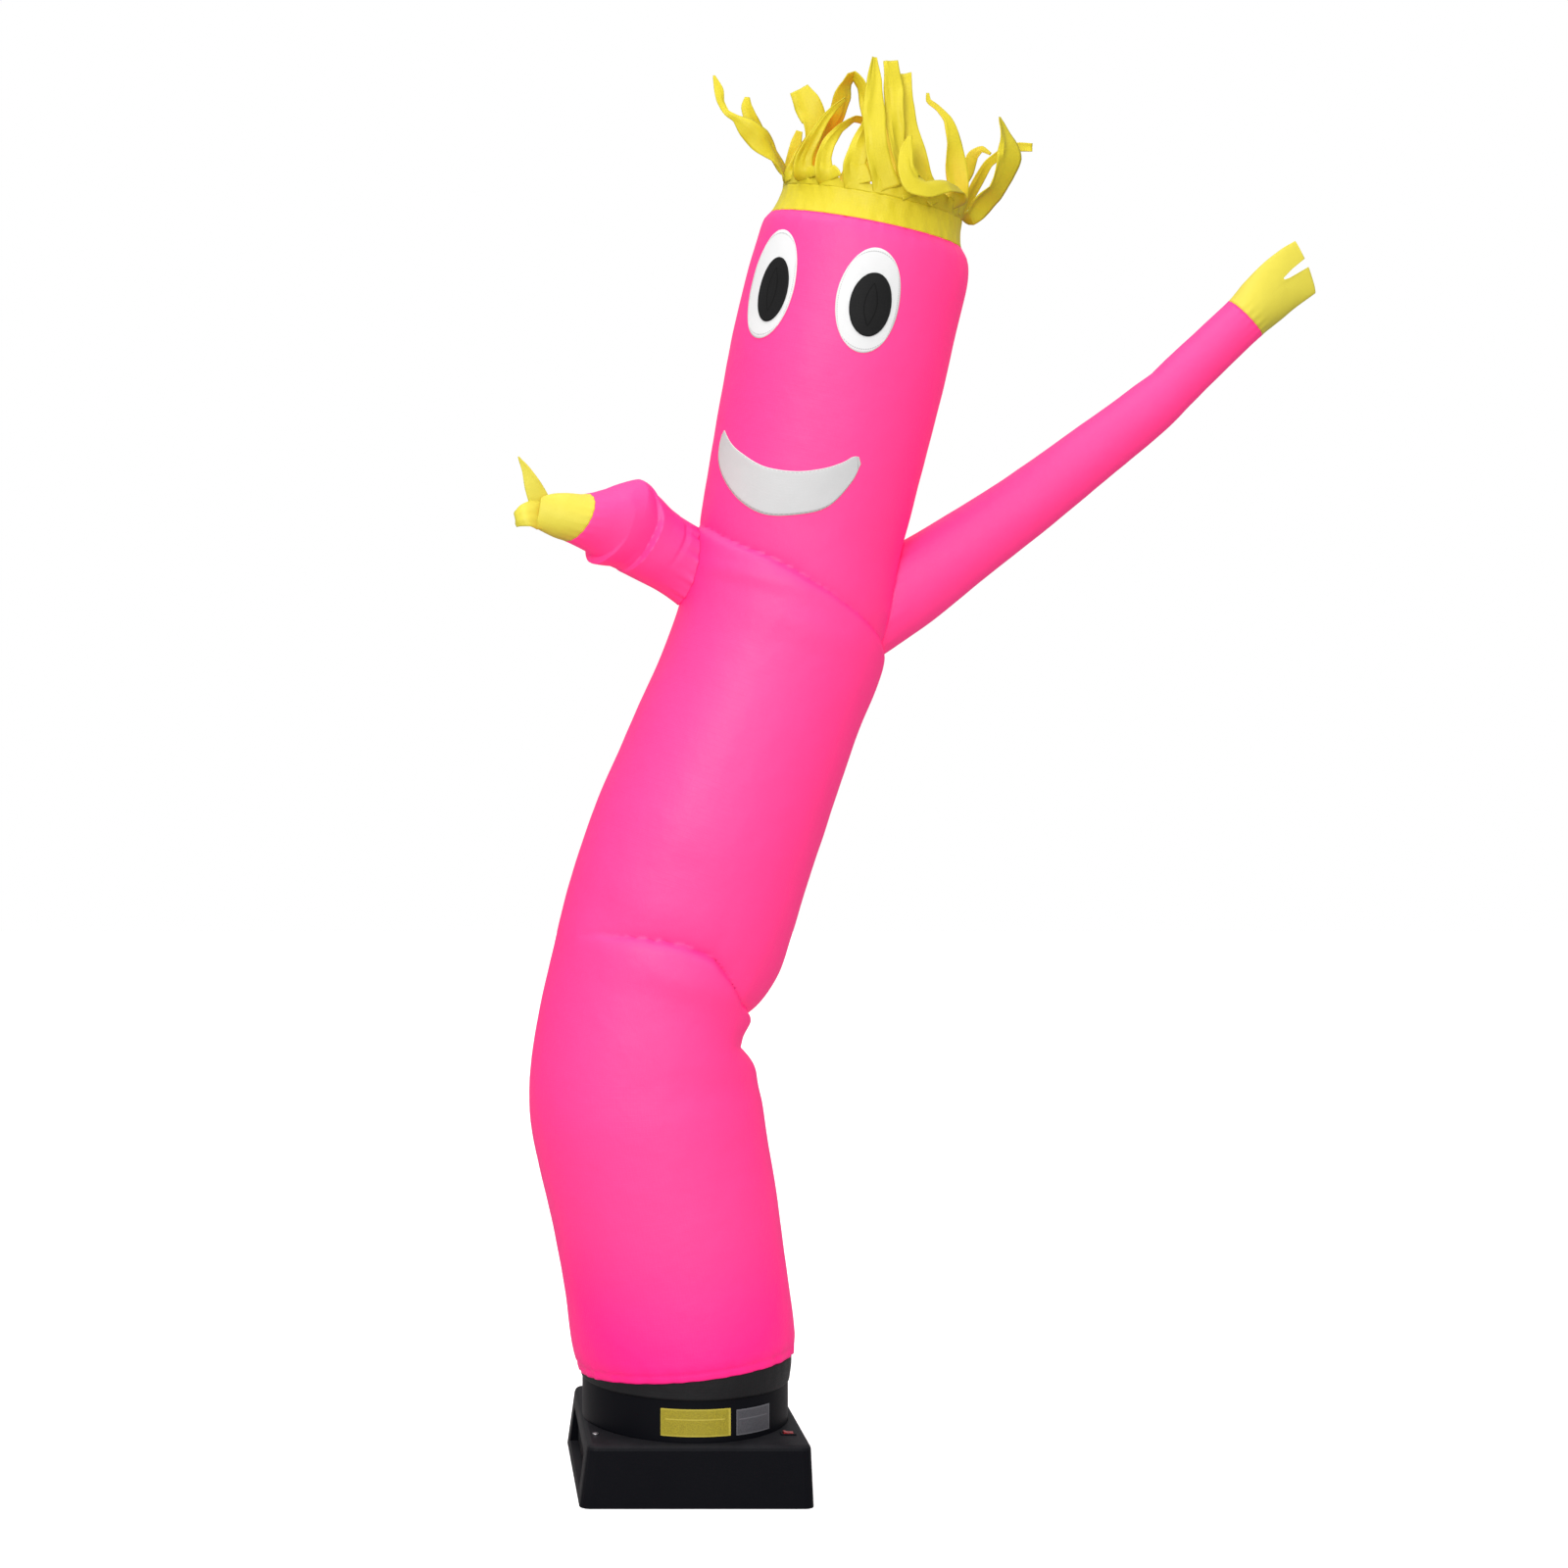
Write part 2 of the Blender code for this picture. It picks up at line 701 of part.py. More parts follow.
def make_right_hand(material):
    hand = make_hand("right_hand", RIGHT_ARM, RIGHT_HAND, material)
    cut(hand, add_cutter("finger_slit", extruded_outline(RIGHT_SLIT, -0.06, 0.04)))
    return hand


def make_left_hand(material):
    hand = make_hand("left_hand", LEFT_ARM, LEFT_HAND, material)
    root, bend, tip = (Vector(LEFT_FINGER[k]) for k in ("root", "bend", "tip"))
    root_z = root - (bend - root) * 0.4

    def point(a, b):
        t = (b + 1) / 2
        middle = root_z * (1 - t) ** 2 + 2 * bend * t * (1 - t) + tip * t**2
        wide = LEFT_FINGER["wide"] * (1 - 0.9 * t)
        return middle + Vector((a * wide, -0.004 * a * a, 0))

    finger = laid_sheet(2, 5, point)
    bmesh.ops.recalc_face_normals(finger, faces=finger.faces)
    cutter = add_cutter("upper_finger", finger)
    thicken(cutter, HAND_CLOTH, offset=0.0)
    join(hand, cutter)
    return hand


def head_patch_point(turn, z, across, up, lift):
    """A point of a patch on the head: across and up are metres from the patch's middle."""
    section_radius = body_section(z)[4]
    return body_point(turn + math.degrees(across / section_radius), z + up * 0.96, lift)


def make_eye_piece(name, middle, lift, material):
    turn, z, half_width, half_height, lean = middle
    lean = math.radians(lean)

    def point(a, b):
        across = a * math.sqrt(1 - b * b / 2) * half_width
        up = b * math.sqrt(1 - a * a / 2) * half_height
        leant_across = across * math.cos(lean) + up * math.sin(lean)
        leant_up = up * math.cos(lean) - across * math.sin(lean)
        return head_patch_point(turn, z, leant_across, leant_up, lift)

    bm = face_outward(laid_sheet(6, 8, point), body_section(z)[0])
    piece = add_object(name, bm, material)
    thicken(piece, PATCH, offset=1.0)
    return piece


def make_face(white, black):
    for name, eye, pupil in EYES:
        make_eye_piece(f"eye_{name}", eye, LAY, white)
        make_eye_piece(f"pupil_{name}", pupil, LAY + PATCH + LAY, black)
    make_mouth(white)


def make_mouth(material):
    keys = [i / (len(MOUTH_UPPER) - 1) for i in range(len(MOUTH_UPPER))]

    def point(a, b):
        upper = smooth_between(keys, MOUTH_UPPER, (a + 1) / 2)
        lower = smooth_between(keys, MOUTH_LOWER, (a + 1) / 2)
        turn, z = (low + (high - low) * (b + 1) / 2 for low, high in zip(lower, upper))
        return body_point(turn, z, LAY)

    bm = face_outward(laid_sheet(24, 4, point), body_section(MOUTH_LOWER[0][1])[0])
    mouth = add_object("mouth", bm, material)
    thicken(mouth, PATCH, offset=1.0)
    return mouth


def band_frame():
    """The middle of the body's top edge, with its directions and radius."""
    return body_section(BODY_HEIGHTS[-1])


def band_point(turn, height, thinner=0.0):
    middle, up, right, back, radius = band_frame()
    share = height / BAND_HEIGHT
    radius += (BAND_TOP_RADIUS - radius) * min(1.0, share * (2 - min(share, 1.0))) - thinner
    angle = math.radians(turn)
    return middle + up * height + radius * (math.sin(angle) * right - math.cos(angle) * back)


def make_band(material):
    rows = 4
    bm = rolled_sheet(
        BODY_SIDES, rows, lambda turn, row: band_point(turn, FIT + (BAND_HEIGHT - FIT) * row / (rows - 1))
    )
    band = add_object("hair_band", bm, material)
    thicken(band, CLOTH)
    return band


def section_frame(middle, side, thickness):
    """A matrix that places a ribbon's cross-section: side and thickness carry half its width and depth."""
    along = side.cross(thickness).normalized()
    columns = (side, thickness, along, middle)
    return Matrix([[c[i] for c in columns] for i in range(3)] + [[0, 0, 0, 1]])


def face_frame(face, outward):
    """The frame of a four-cornered root face: its longer middle line is the side."""
    corners = [v.co.copy() for v in face.verts]
    first = (corners[1] + corners[2] - corners[0] - corners[3]) / 4
    second = (corners[2] + corners[3] - corners[0] - corners[1]) / 4
    side, thickness = (first, second) if first.length > second.length else (second, first)
    if thickness.dot(outward) < 0:
        thickness = -thickness
    if side.cross(thickness).dot(face.normal) < 0:
        side = -side
    return section_frame(face.calc_center_median(), side, thickness)


def ribbon_frames(start, rows):
    """The cross-sections of a ribbon along its route, from the root's frame on."""
    side, thickness, along, root = (start.col[i].to_3d() for i in range(4))
    top_middle = band_frame()[0] + band_frame()[1] * (BAND_HEIGHT + STRIP_HEIGHT)
    points = [top_middle + Vector(row[:3]) / 1000 for row in rows]
    if (points[0] - root).dot(along) < RIBBON_CLEAR:
        points, rows = points[1:], rows[1:]
    headings = [(b - a).normalized() for a, b in zip(points, points[1:])]
    headings.append(headings[-1])
    flats = [side.normalized()]
    for heading, row in zip(headings, rows):
        level = heading.cross(Vector((0, 1, 0)))
        flat = Matrix.Rotation(math.radians(row[4]), 3, heading) @ level.normalized()
        flats.append(flat if flat.dot(flats[-1]) > 0 else -flat)
    route = [root, *points]
    halves = [side.length] + [row[3] / 2000 for row in rows]
    distance = [0.0]
    for a, b in zip(route, route[1:]):
        distance.append(distance[-1] + (b - a).length)
    table = [(*place, half, *flat) for place, half, flat in zip(route, halves, flats)]
    frames = []
    for k in range(1, RIBBON_SEGMENTS + 1):
        at = distance[-1] * k / RIBBON_SEGMENTS
        here = smooth_between(distance, table, at)
        ahead = smooth_between(distance, table, min(at + 0.003, distance[-1]))
        behind = smooth_between(distance, table, at - 0.003)
        heading = (Vector(ahead[:3]) - Vector(behind[:3])).normalized()
        flat = Vector(here[4:])
        flat = (flat - flat.dot(heading) * heading).normalized()
        frames.append(section_frame(Vector(here[:3]), flat * here[3], heading.cross(flat) * thickness.length))
    return frames


def make_streamers(material):
    """A narrow strip on top of the band, with the cut ribbons drawn out of its upper edge."""
    bm = bmesh.new()
    bmesh.ops.create_grid(bm, x_segments=2 * RIBBON_ROOTS, y_segments=1, size=1.0)
    place_turn = 360 / RIBBON_ROOTS
    for v in bm.verts:
        column = round((v.co.x + 1) * RIBBON_ROOTS)
        place, second = divmod(column, 2)
        turn = (place + (ROOT_SHARE if second else 0.0) - ROOT_SHARE / 2) * place_turn
        height = BAND_HEIGHT + FIT + (STRIP_HEIGHT - FIT) * (v.co.y + 1) / 2
        v.co = band_point(turn, height)
    bmesh.ops.remove_doubles(bm, verts=bm.verts, dist=1e-5)
    bmesh.ops.recalc_face_normals(bm, faces=bm.faces)
    bmesh.ops.solidify(bm, geom=bm.faces[:], thickness=STRIP_CLOTH)
    bmesh.ops.recalc_face_normals(bm, faces=bm.faces)
    middle, up, right, back, _ = band_frame()
    tops = [f for f in bm.faces if f.normal.dot(up) > 0.9]
    for place, route in RIBBONS:
        angle = math.radians(place * place_turn)
        outward = math.sin(angle) * right - math.cos(angle) * back
        face = max(tops, key=lambda f: (f.calc_center_median() - middle).normalized().dot(outward))
        tops.remove(face)
        frame = face_frame(face, outward)
        for following in ribbon_frames(frame, route):
            before = face.verts[:]
            face = bmesh.ops.extrude_discrete_faces(bm, faces=[face])["faces"][0]
            ends = set(face.verts)
            after = [next(e.other_vert(v) for e in v.link_edges if e.other_vert(v) in ends) for v in before]
            move = following @ frame.inverted()
            for v in face.verts:
                v.co = move @ v.co
            frame = following
            # Opposite sides are split along the same diagonal, so that a twisted ribbon keeps its thickness.
            for low, high in ((0, 1), (1, 2), (3, 2), (0, 3)):
                bmesh.ops.connect_verts(bm, verts=[before[low], after[high]])
    return add_object("hair_streamers", bm, material)


def make_cuff(material):
    def point(turn, row):
        x, z, radius = CUFF[row]
        angle = math.radians(turn)
        return Vector((x + radius * math.sin(angle), -radius * math.cos(angle), z))

    cuff = add_object("cuff", rolled_sheet(COLLAR_SIDES, len(CUFF), point), material)
    thicken(cuff, CUFF_CLOTH)
    return cuff


def block(low, high):
    """A box between two corners."""
    bm = bmesh.new()
    bmesh.ops.create_cube(bm, size=1.0)
    low, high = Vector(low), Vector(high)
    bmesh.ops.scale(bm, verts=bm.verts, vec=high - low)
    bmesh.ops.translate(bm, verts=bm.verts, vec=(low + high) / 2)
    return bm


def turned_cylinder(radius, z_low, z_high, sides, at=(0.0, 0.0)):
    bm = bmesh.new()
    bmesh.ops.create_cone(
        bm, cap_ends=True, segments=sides, radius1=radius, radius2=radius, depth=z_high - z_low
    )
    bmesh.ops.translate(bm, verts=bm.verts, vec=(at[0], at[1], (z_low + z_high) / 2))
    return bm


def bevelled(bm, edges, width, segments):
    bmesh.ops.bevel(bm, geom=edges, offset=width, segments=segments, profile=0.5, affect="EDGES", material=-1)


def make_base(material):
    """The moulded housing: tapered, with rounded corners, a round air chamber and an intake in its left side."""
    half_x, half_y = BASE_WIDTH / 2, BASE_DEPTH / 2
    bm = block((-half_x, -half_y, 0), (half_x, half_y, BASE_HEIGHT))
    for v in bm.verts:
        if v.co.z > BASE_HEIGHT / 2:
            v.co.x += BASE_DRAFT["left"] if v.co.x < 0 else -BASE_DRAFT["right"]
            v.co.y += BASE_DRAFT["front"] if v.co.y < 0 else -BASE_DRAFT["back"]
    upright = [e for e in bm.edges if abs(e.verts[0].co.z - e.verts[1].co.z) > BASE_HEIGHT / 2]
    bevelled(bm, upright, BASE_CORNER, 4)
    top = [e for e in bm.edges if min(v.co.z for v in e.verts) > BASE_HEIGHT - 1e-6]
    bevelled(bm, [e for e in top if len(e.link_faces) == 2], BASE_EDGE, 3)
    base = add_object("blower_base", bm, material)
    cut(base, add_cutter("chamber", turned_cylinder(CHAMBER_RADIUS, CHAMBER_FLOOR, 0.2, COLLAR_SIDES)))
    intake = block(
        (-half_x - 0.01, INTAKE_Y[0], INTAKE_Z[0]), (-half_x + INTAKE_DEPTH, INTAKE_Y[1], INTAKE_Z[1])
    )
    cut(base, add_cutter("intake", intake))
    x, y = SWITCH_AT
    hole_x, hole_y = SWITCH_HOLE[0] / 2, SWITCH_HOLE[1] / 2
    pocket = block(
        (x - hole_x, y - hole_y, BASE_HEIGHT - SWITCH_HOLE_DEPTH), (x + hole_x, y + hole_y, BASE_HEIGHT + 0.01)
    )
    cut(base, add_cutter("switch_pocket", pocket))
    return base


def make_collar(material):
    """The round outlet that the tube is tied over."""
    bm = turned_cylinder(COLLAR_RADIUS, BASE_HEIGHT + FIT, COLLAR_TOP, COLLAR_SIDES)
    collar = add_object("blower_collar", bm, material)
    bore = turned_cylinder(COLLAR_RADIUS - COLLAR_WALL, 0.0, COLLAR_TOP + 0.1, COLLAR_SIDES)
    cut(collar, add_cutter("collar_bore", bore))
    return collar


def make_grille(material):
    """A flat plate with slanting slots, set just inside the intake."""
    x_out = -BASE_WIDTH / 2 + BASE_DRAFT["left"] + 0.002
    low = (x_out, INTAKE_Y[0] + FIT, INTAKE_Z[0] + FIT)
    high = (x_out + GRILLE_THICKNESS, INTAKE_Y[1] - FIT, INTAKE_Z[1] - FIT)
    grille = add_object("intake_grille", block(low, high), material)
    pitch = (high[1] - low[1] - 0.03) / GRILLE_SLOTS
    middle_z = (low[2] + high[2]) / 2
    half_z = (high[2] - low[2]) / 2 - 0.006
    slots = bmesh.new()
    for i in range(GRILLE_SLOTS):
        y = low[1] + 0.015 + pitch * (i + 0.5)
        made = bmesh.ops.create_cube(slots, size=1.0)["verts"]
        bmesh.ops.scale(slots, verts=made, vec=(0.03, GRILLE_SLOT_WIDTH, 2 * half_z))
        for v in made:
            v.co.y += v.co.z * math.tan(GRILLE_SLANT)
        bmesh.ops.translate(slots, verts=made, vec=(x_out, y, middle_z))
    cut(grille, add_cutter("grille_slots", slots))
    return grille


def make_labels(materials):
    for name, left, right, bottom, top, material in LABELS:
        def point(a, b):
            angle = math.radians((left + right) / 2 + a * (right - left) / 2)
            radius = COLLAR_RADIUS + FIT
            z = (bottom + top) / 2 + b * (top - bottom) / 2
            return Vector((radius * math.sin(angle), -radius * math.cos(angle), z))

        bm = face_outward(laid_sheet(8, 1, point), Vector((0, 0, bottom)))
        thicken(add_object(name, bm, materials[material]), STICKER, offset=1.0)


def make_switch(rim_material, rocker_material):
    """A rocker in a raised rim, tilted as it lies when it is on."""
    x, y = SWITCH_AT
    hole_x, hole_y = SWITCH_HOLE[0] / 2, SWITCH_HOLE[1] / 2
    low = (x - hole_x - SWITCH_RIM, y - hole_y - SWITCH_RIM, BASE_HEIGHT + FIT)
    high = (x + hole_x + SWITCH_RIM, y + hole_y + SWITCH_RIM, BASE_HEIGHT + FIT + SWITCH_RIM_HEIGHT)
    rim = add_object("switch_rim", block(low, high), rim_material)
    hole = block((x - hole_x, y - hole_y, 0.0), (x + hole_x, y + hole_y, BASE_HEIGHT + 0.02))
    cut(rim, add_cutter("rim_hole", hole))
    long, half, peak, end = (ROCKER[k] for k in ("half_length", "half_width", "peak", "end"))
    corners = (
        (-long, -ROCKER["under"]),
        (-long * 0.55, -ROCKER["foot"]),
        (long * 0.55, -ROCKER["foot"]),
        (long, -ROCKER["under"]),
        (long, peak),
        (0.0, end),
        (-long, peak),
    )
    bm = extruded_outline(corners, -half, half)
    bmesh.ops.rotate(bm, verts=bm.verts, matrix=Matrix.Rotation(SWITCH_TILT, 3, "Y"), cent=(0, 0, 0))
    rocker = add_object("switch_rocker", bm, rocker_material)
    pivot = bpy.data.objects.new("switch_pivot", None)
    bpy.context.scene.collection.objects.link(pivot)
    pivot.location = (x, y, BASE_HEIGHT)
    rocker.parent = pivot


def make_screws(material):
    for number, (x, y) in enumerate(SCREWS_AT, 1):
        bm = turned_cylinder(SCREW_RADIUS, BASE_HEIGHT + FIT, BASE_HEIGHT + FIT + SCREW_HEIGHT, 14, at=(x, y))
        rim = [e for e in bm.edges if min(v.co.z for v in e.verts) > BASE_HEIGHT + SCREW_HEIGHT / 2]
        bevelled(bm, rim, 0.0008, 2)
        screw = add_object(f"screw_{number}", bm, material)
        slot = block((x - 0.01, y - 0.0006, BASE_HEIGHT + 0.0014), (x + 0.01, y + 0.0006, BASE_HEIGHT + 0.01))
        cut(screw, add_cutter(f"screw_slot_{number}", slot))


def make_gland(material):
    """The bush in the back wall that the supply lead would leave through."""
    bm = bmesh.new()
    bmesh.ops.create_cone(
        bm, cap_ends=True, segments=20, radius1=GLAND_RADIUS, radius2=GLAND_RADIUS * 0.72, depth=GLAND_LENGTH
    )
    bmesh.ops.rotate(bm, verts=bm.verts, matrix=Matrix.Rotation(-math.pi / 2, 3, "X"), cent=(0, 0, 0))
    x, z = GLAND_AT
    back = BASE_DEPTH / 2 - BASE_DRAFT["back"] * (z - GLAND_RADIUS) / BASE_HEIGHT
    bmesh.ops.translate(bm, verts=bm.verts, vec=(x, back + FIT + GLAND_LENGTH / 2, z))
    return add_object("cord_gland", bm, material)


def main():
    clear_scene()
    nylon = make_material("pink nylon", PINK, 0.5)
    hair = make_material("yellow nylon", YELLOW, 0.55)
    white = make_material("white nylon", WHITE, 0.55)
    black = make_material("black nylon", BLACK_CLOTH, 0.6)
    plastic = make_material("black plastic", BLACK, 0.4)
    rubber = make_material("black rubber", BLACK_CLOTH, 0.8)
    red = make_material("red plastic", RED, 0.3)
    steel = make_material("screw steel", STEEL, 0.35, 1.0)
    stickers = {
        "sticker_yellow": make_material("yellow sticker", STICKER_YELLOW, 0.45),
        "sticker_grey": make_material("grey sticker", STICKER_GREY, 0.5),
    }
    body = make_body(nylon)
    trimmer = make_body_cutter()
    make_arm("right_arm", RIGHT_ARM, RIGHT_HAND, body, trimmer, nylon)
    make_arm("left_arm", LEFT_ARM, LEFT_HAND, body, trimmer, nylon)
    make_right_hand(hair)
    make_left_hand(hair)
    make_face(white, black)
    make_band(hair)
    make_streamers(hair)
    make_cuff(black)
    make_base(plastic)
    make_collar(plastic)
    make_grille(plastic)
    make_labels(stickers)
    make_switch(plastic, red)
    make_screws(steel)
    make_gland(rubber)


main()
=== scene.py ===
"""Looks of the inflatable tube dancer on its blower: cloth, face, hair, blower, stage and camera.

Metres, +Z up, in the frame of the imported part: the origin is on the floor under the
middle of the blower, and the blower's front faces -Y.
"""

from functools import lru_cache, partial
from math import atan2, cos, degrees, exp, pi, radians, sin, sqrt

import bmesh
import bpy
from mathutils import Matrix, Vector, noise


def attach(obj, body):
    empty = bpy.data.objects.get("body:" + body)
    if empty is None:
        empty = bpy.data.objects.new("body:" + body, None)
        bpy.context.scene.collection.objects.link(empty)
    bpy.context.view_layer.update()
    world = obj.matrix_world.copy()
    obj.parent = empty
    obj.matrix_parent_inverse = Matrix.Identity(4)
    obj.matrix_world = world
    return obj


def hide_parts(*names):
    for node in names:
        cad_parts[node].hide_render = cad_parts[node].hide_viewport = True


bl_info = {
    "name": "Inflatable tube dancer",
    "version": (1, 0, 0),
    "blender": (4, 5, 0),
    "location": "3D View > Sidebar > Dancer",
    "description": "Builds the cloth, face, hair and blower of a blown-up tube dancer",
    "category": "Object",
}

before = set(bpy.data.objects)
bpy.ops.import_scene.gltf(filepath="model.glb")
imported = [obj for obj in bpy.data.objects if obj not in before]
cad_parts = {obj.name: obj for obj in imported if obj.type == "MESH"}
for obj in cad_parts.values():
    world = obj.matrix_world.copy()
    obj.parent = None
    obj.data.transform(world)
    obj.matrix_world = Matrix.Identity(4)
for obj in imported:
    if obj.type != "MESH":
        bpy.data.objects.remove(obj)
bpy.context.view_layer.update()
ROOT = "dancer"

# Shape of the blown-up cloth

# The body's cross-sections from the hem up: the middle of each, how far it leans to the
# right and nods forward, in degrees, and its radius.
BODY = (
    # x, y, z, lean, nod, radius
    (0.0022, 0.000, 0.1690, -6.0, -3.4, 0.1608),
    (-0.0020, 0.000, 0.1983, -6.0, -2.0, 0.1656),
    (-0.0147, 0.001, 0.2962, -9.0, -1.0, 0.1652),
    (-0.0294, 0.001, 0.3882, -9.3, 0.0, 0.1679),
    (-0.0462, 0.000, 0.4715, -9.0, 0.0, 0.1703),
    (-0.0578, 0.000, 0.5387, -5.0, 0.0, 0.1726),
    (-0.0615, 0.000, 0.5884, 0.0, 0.0, 0.1695),
    (-0.0549, 0.000, 0.6395, 6.0, 0.0, 0.1685),
    (-0.0396, 0.000, 0.7301, 15.0, 0.0, 0.1640),
    (-0.0104, 0.000, 0.8294, 17.5, 0.0, 0.1693),
    (0.0247, 0.000, 0.9389, 20.5, 0.0, 0.1676),
    (0.0532, 0.000, 1.0135, 21.0, 0.0, 0.1637),
    (0.0831, 0.000, 1.0909, 21.3, 0.0, 0.1599),
    (0.1109, 0.000, 1.1610, 21.8, 0.0, 0.1567),
    (0.1380, 0.000, 1.2311, 20.0, 0.5, 0.1580),
    (0.1547, -0.005, 1.3008, 16.0, 3.0, 0.1560),
    (0.1678, -0.014, 1.3901, 12.7, 6.0, 0.1511),
    (0.1822, -0.024, 1.4613, 12.7, 8.0, 0.1528),
    (0.2011, -0.040, 1.5600, 12.8, 9.0, 0.1562),
    (0.2174, -0.054, 1.6437, 13.0, 9.5, 0.1582),
    (0.2349, -0.068, 1.7267, 13.4, 10.0, 0.1572),
    (0.2488, -0.078, 1.7828, 13.4, 10.0, 0.1553),
    (0.2534, -0.083, 1.8129, 12.8, 10.0, 0.1502),
    (0.2528, -0.086, 1.8278, 11.7, 10.0, 0.1394),
)
BODY_SIDES = 144
# Up to each height, the rings of the body are about this far apart.
BODY_RINGS = (
    (0.200, 0.003), (0.60, 0.012), (0.86, 0.0038), (1.22, 0.012), (1.42, 0.0038), (1.76, 0.010),
    (1.83, 0.004),
)

# Folds across the body. Each row gives the turn from the front in degrees, the height of the
# section that the fold crosses there, and its depth. Above it the cloth falls in slowly, and
# below it the cloth comes out within a short step.
FOLDS = (
    dict(
        name="shoulder",
        above=0.038,
        below=0.0055,
        rows=(
            (-118, 1.380, 0.0), (-76, 1.374, 0.009), (-46, 1.357, 0.012), (-23, 1.347, 0.013),
            (-8, 1.336, 0.014), (4, 1.3255, 0.014), (28, 1.3065, 0.013), (71, 1.274, 0.012),
            (100, 1.264, 0.009), (150, 1.290, 0.002), (190, 1.330, 0.0),
        ),
    ),
    dict(
        name="waist",
        above=0.056,
        below=0.0055,
        rows=(
            (-58, 0.766, 0.0), (-45, 0.776, 0.006), (-29, 0.785, 0.013), (-12, 0.793, 0.017),
            (3, 0.797, 0.019), (20, 0.791, 0.021), (32, 0.771, 0.020), (48, 0.738, 0.016),
            (84, 0.712, 0.016), (125, 0.735, 0.014), (165, 0.780, 0.008), (205, 0.800, 0.0),
        ),
    ),
    dict(
        name="lower waist",
        above=0.020,
        below=0.018,
        rows=(
            (42, 0.664, 0.0), (66, 0.659, 0.009), (84, 0.656, 0.019), (110, 0.659, 0.011),
            (140, 0.664, 0.0),
        ),
    ),
)
# Wide soft forms: turn and height of the middle, their spread, and how far the cloth stands out.
BODY_SWELLS = (
    # turn, z, spread in degrees, spread in height, height of the swell
    (86, 0.680, 42, 0.048, -0.027),
    (84, 0.790, 34, 0.036, 0.003),
    (8, 0.748, 34, 0.024, 0.005),
    (60, 0.700, 14, 0.020, 0.003),
    (-10, 0.880, 34, 0.045, -0.004),
    (-46, 0.810, 22, 0.030, -0.003),
    (20, 1.255, 40, 0.026, 0.004),
    (-30, 1.310, 34, 0.016, 0.003),
)
FOLD_CRISP = 0.18  # share of a fold's depth that ends close to its line
FOLD_CRISP_REACH = 0.006  # and how far up that share reaches
WIDE_DENTS, NARROW_DENTS = 9.0, 31.0  # soft wrinkles per metre
HEM_LINE = 0.0125  # the row of stitches over the hem
HEM_PAINTED_SHADE = (0.155, 0.42)  # heights between which the painted shade over the hem fades, so the pink gets lighter going up
HEM_PUCKER, HEM_GROOVE, HEM_DROOP = 0.0011, 0.0012, 0.0030
CROWN_PUCKER = 0.0007
BODY_SLACK = 0.10  # how much longer the bent tube is than it is high

# Limbs: the middle of each cross-section, its direction in the front view and towards the
# front, in degrees, and its half-width and half-depth.
RIGHT_ARM = (
    # x, y, z, heading, towards, wide, deep
    (0.2350, 0.000, 1.2580, 34, 0, 0.066, 0.066),
    (0.3300, 0.000, 1.3190, 35, 0, 0.063, 0.063),
    (0.4000, -0.002, 1.3680, 35.5, 0, 0.0565, 0.057),
    (0.5000, -0.004, 1.4380, 36, 0, 0.0495, 0.050),
    (0.6000, -0.006, 1.5145, 37, 0, 0.0447, 0.045),
    (0.6900, -0.008, 1.5850, 39, 0, 0.0400, 0.040),
    (0.7600, -0.009, 1.6504, 42, 0, 0.0366, 0.037),
    (0.8315, -0.010, 1.7185, 44, 0, 0.0352, 0.0352),
)
RIGHT_HAND = (
    (0.8560, -0.010, 1.7425, 44, 0, 0.0385, 0.026),
    (0.8800, -0.010, 1.7650, 42, 0, 0.0405, 0.016),
    (0.9030, -0.010, 1.7830, 34, 0, 0.0412, 0.009),
    (0.9225, -0.010, 1.7960, 24, 0, 0.0410, 0.006),
)
LEFT_ARM = (
    (0.0650, 0.000, 1.3080, 144, 4, 0.054, 0.054),
    (0.0016, -0.004, 1.3519, 144, 12, 0.054, 0.054),
    (-0.0531, -0.024, 1.3825, 146, 24, 0.058, 0.055),
    (-0.0921, -0.045, 1.4060, 149, 34, 0.0635, 0.054),
    (-0.1222, -0.062, 1.4128, 152, 34, 0.0545, 0.047),
    (-0.1649, -0.082, 1.4130, 152.5, 30, 0.0387, 0.0387),
)
LEFT_HAND = (
    (-0.1860, -0.093, 1.4150, 158, 26, 0.0345, 0.027),
    (-0.2080, -0.101, 1.4180, 165, 20, 0.0290, 0.016),
    (-0.2240, -0.106, 1.4205, 170, 16, 0.0250, 0.009),
)
LIMB_SIDES = 96
ARM_RINGS = 130
HAND_RINGS = 40
# A limb's rows up to its wrist and beyond, and how much sooner its sleeve ends at its front than
# at its middle, in metres.
RIGHT_LIMB = (RIGHT_ARM, RIGHT_HAND, 0.009)
LEFT_LIMB = (LEFT_ARM, LEFT_HAND, 0.0)
# Heights of the puckers at the arms' seams on the body, at the wrists' seams and on the hands.
RIGHT_PUCKER = 0.0005
LEFT_PUCKER = 0.0016
WRIST_PUCKER = 0.0006
HAND_PUCKER = 0.0005
# Heights of the soft wrinkles, and the thickness of the hands' and the cuff's thinner cloth.
ARM_WRINKLE = 0.0010
HAND_WRINKLE = 0.0013
BAND_WRINKLE = 0.0016
HAND_CLOTH = 0.0012
CUFF_CLOTH = 0.0012
RIBBON_CLOTH = 0.0010

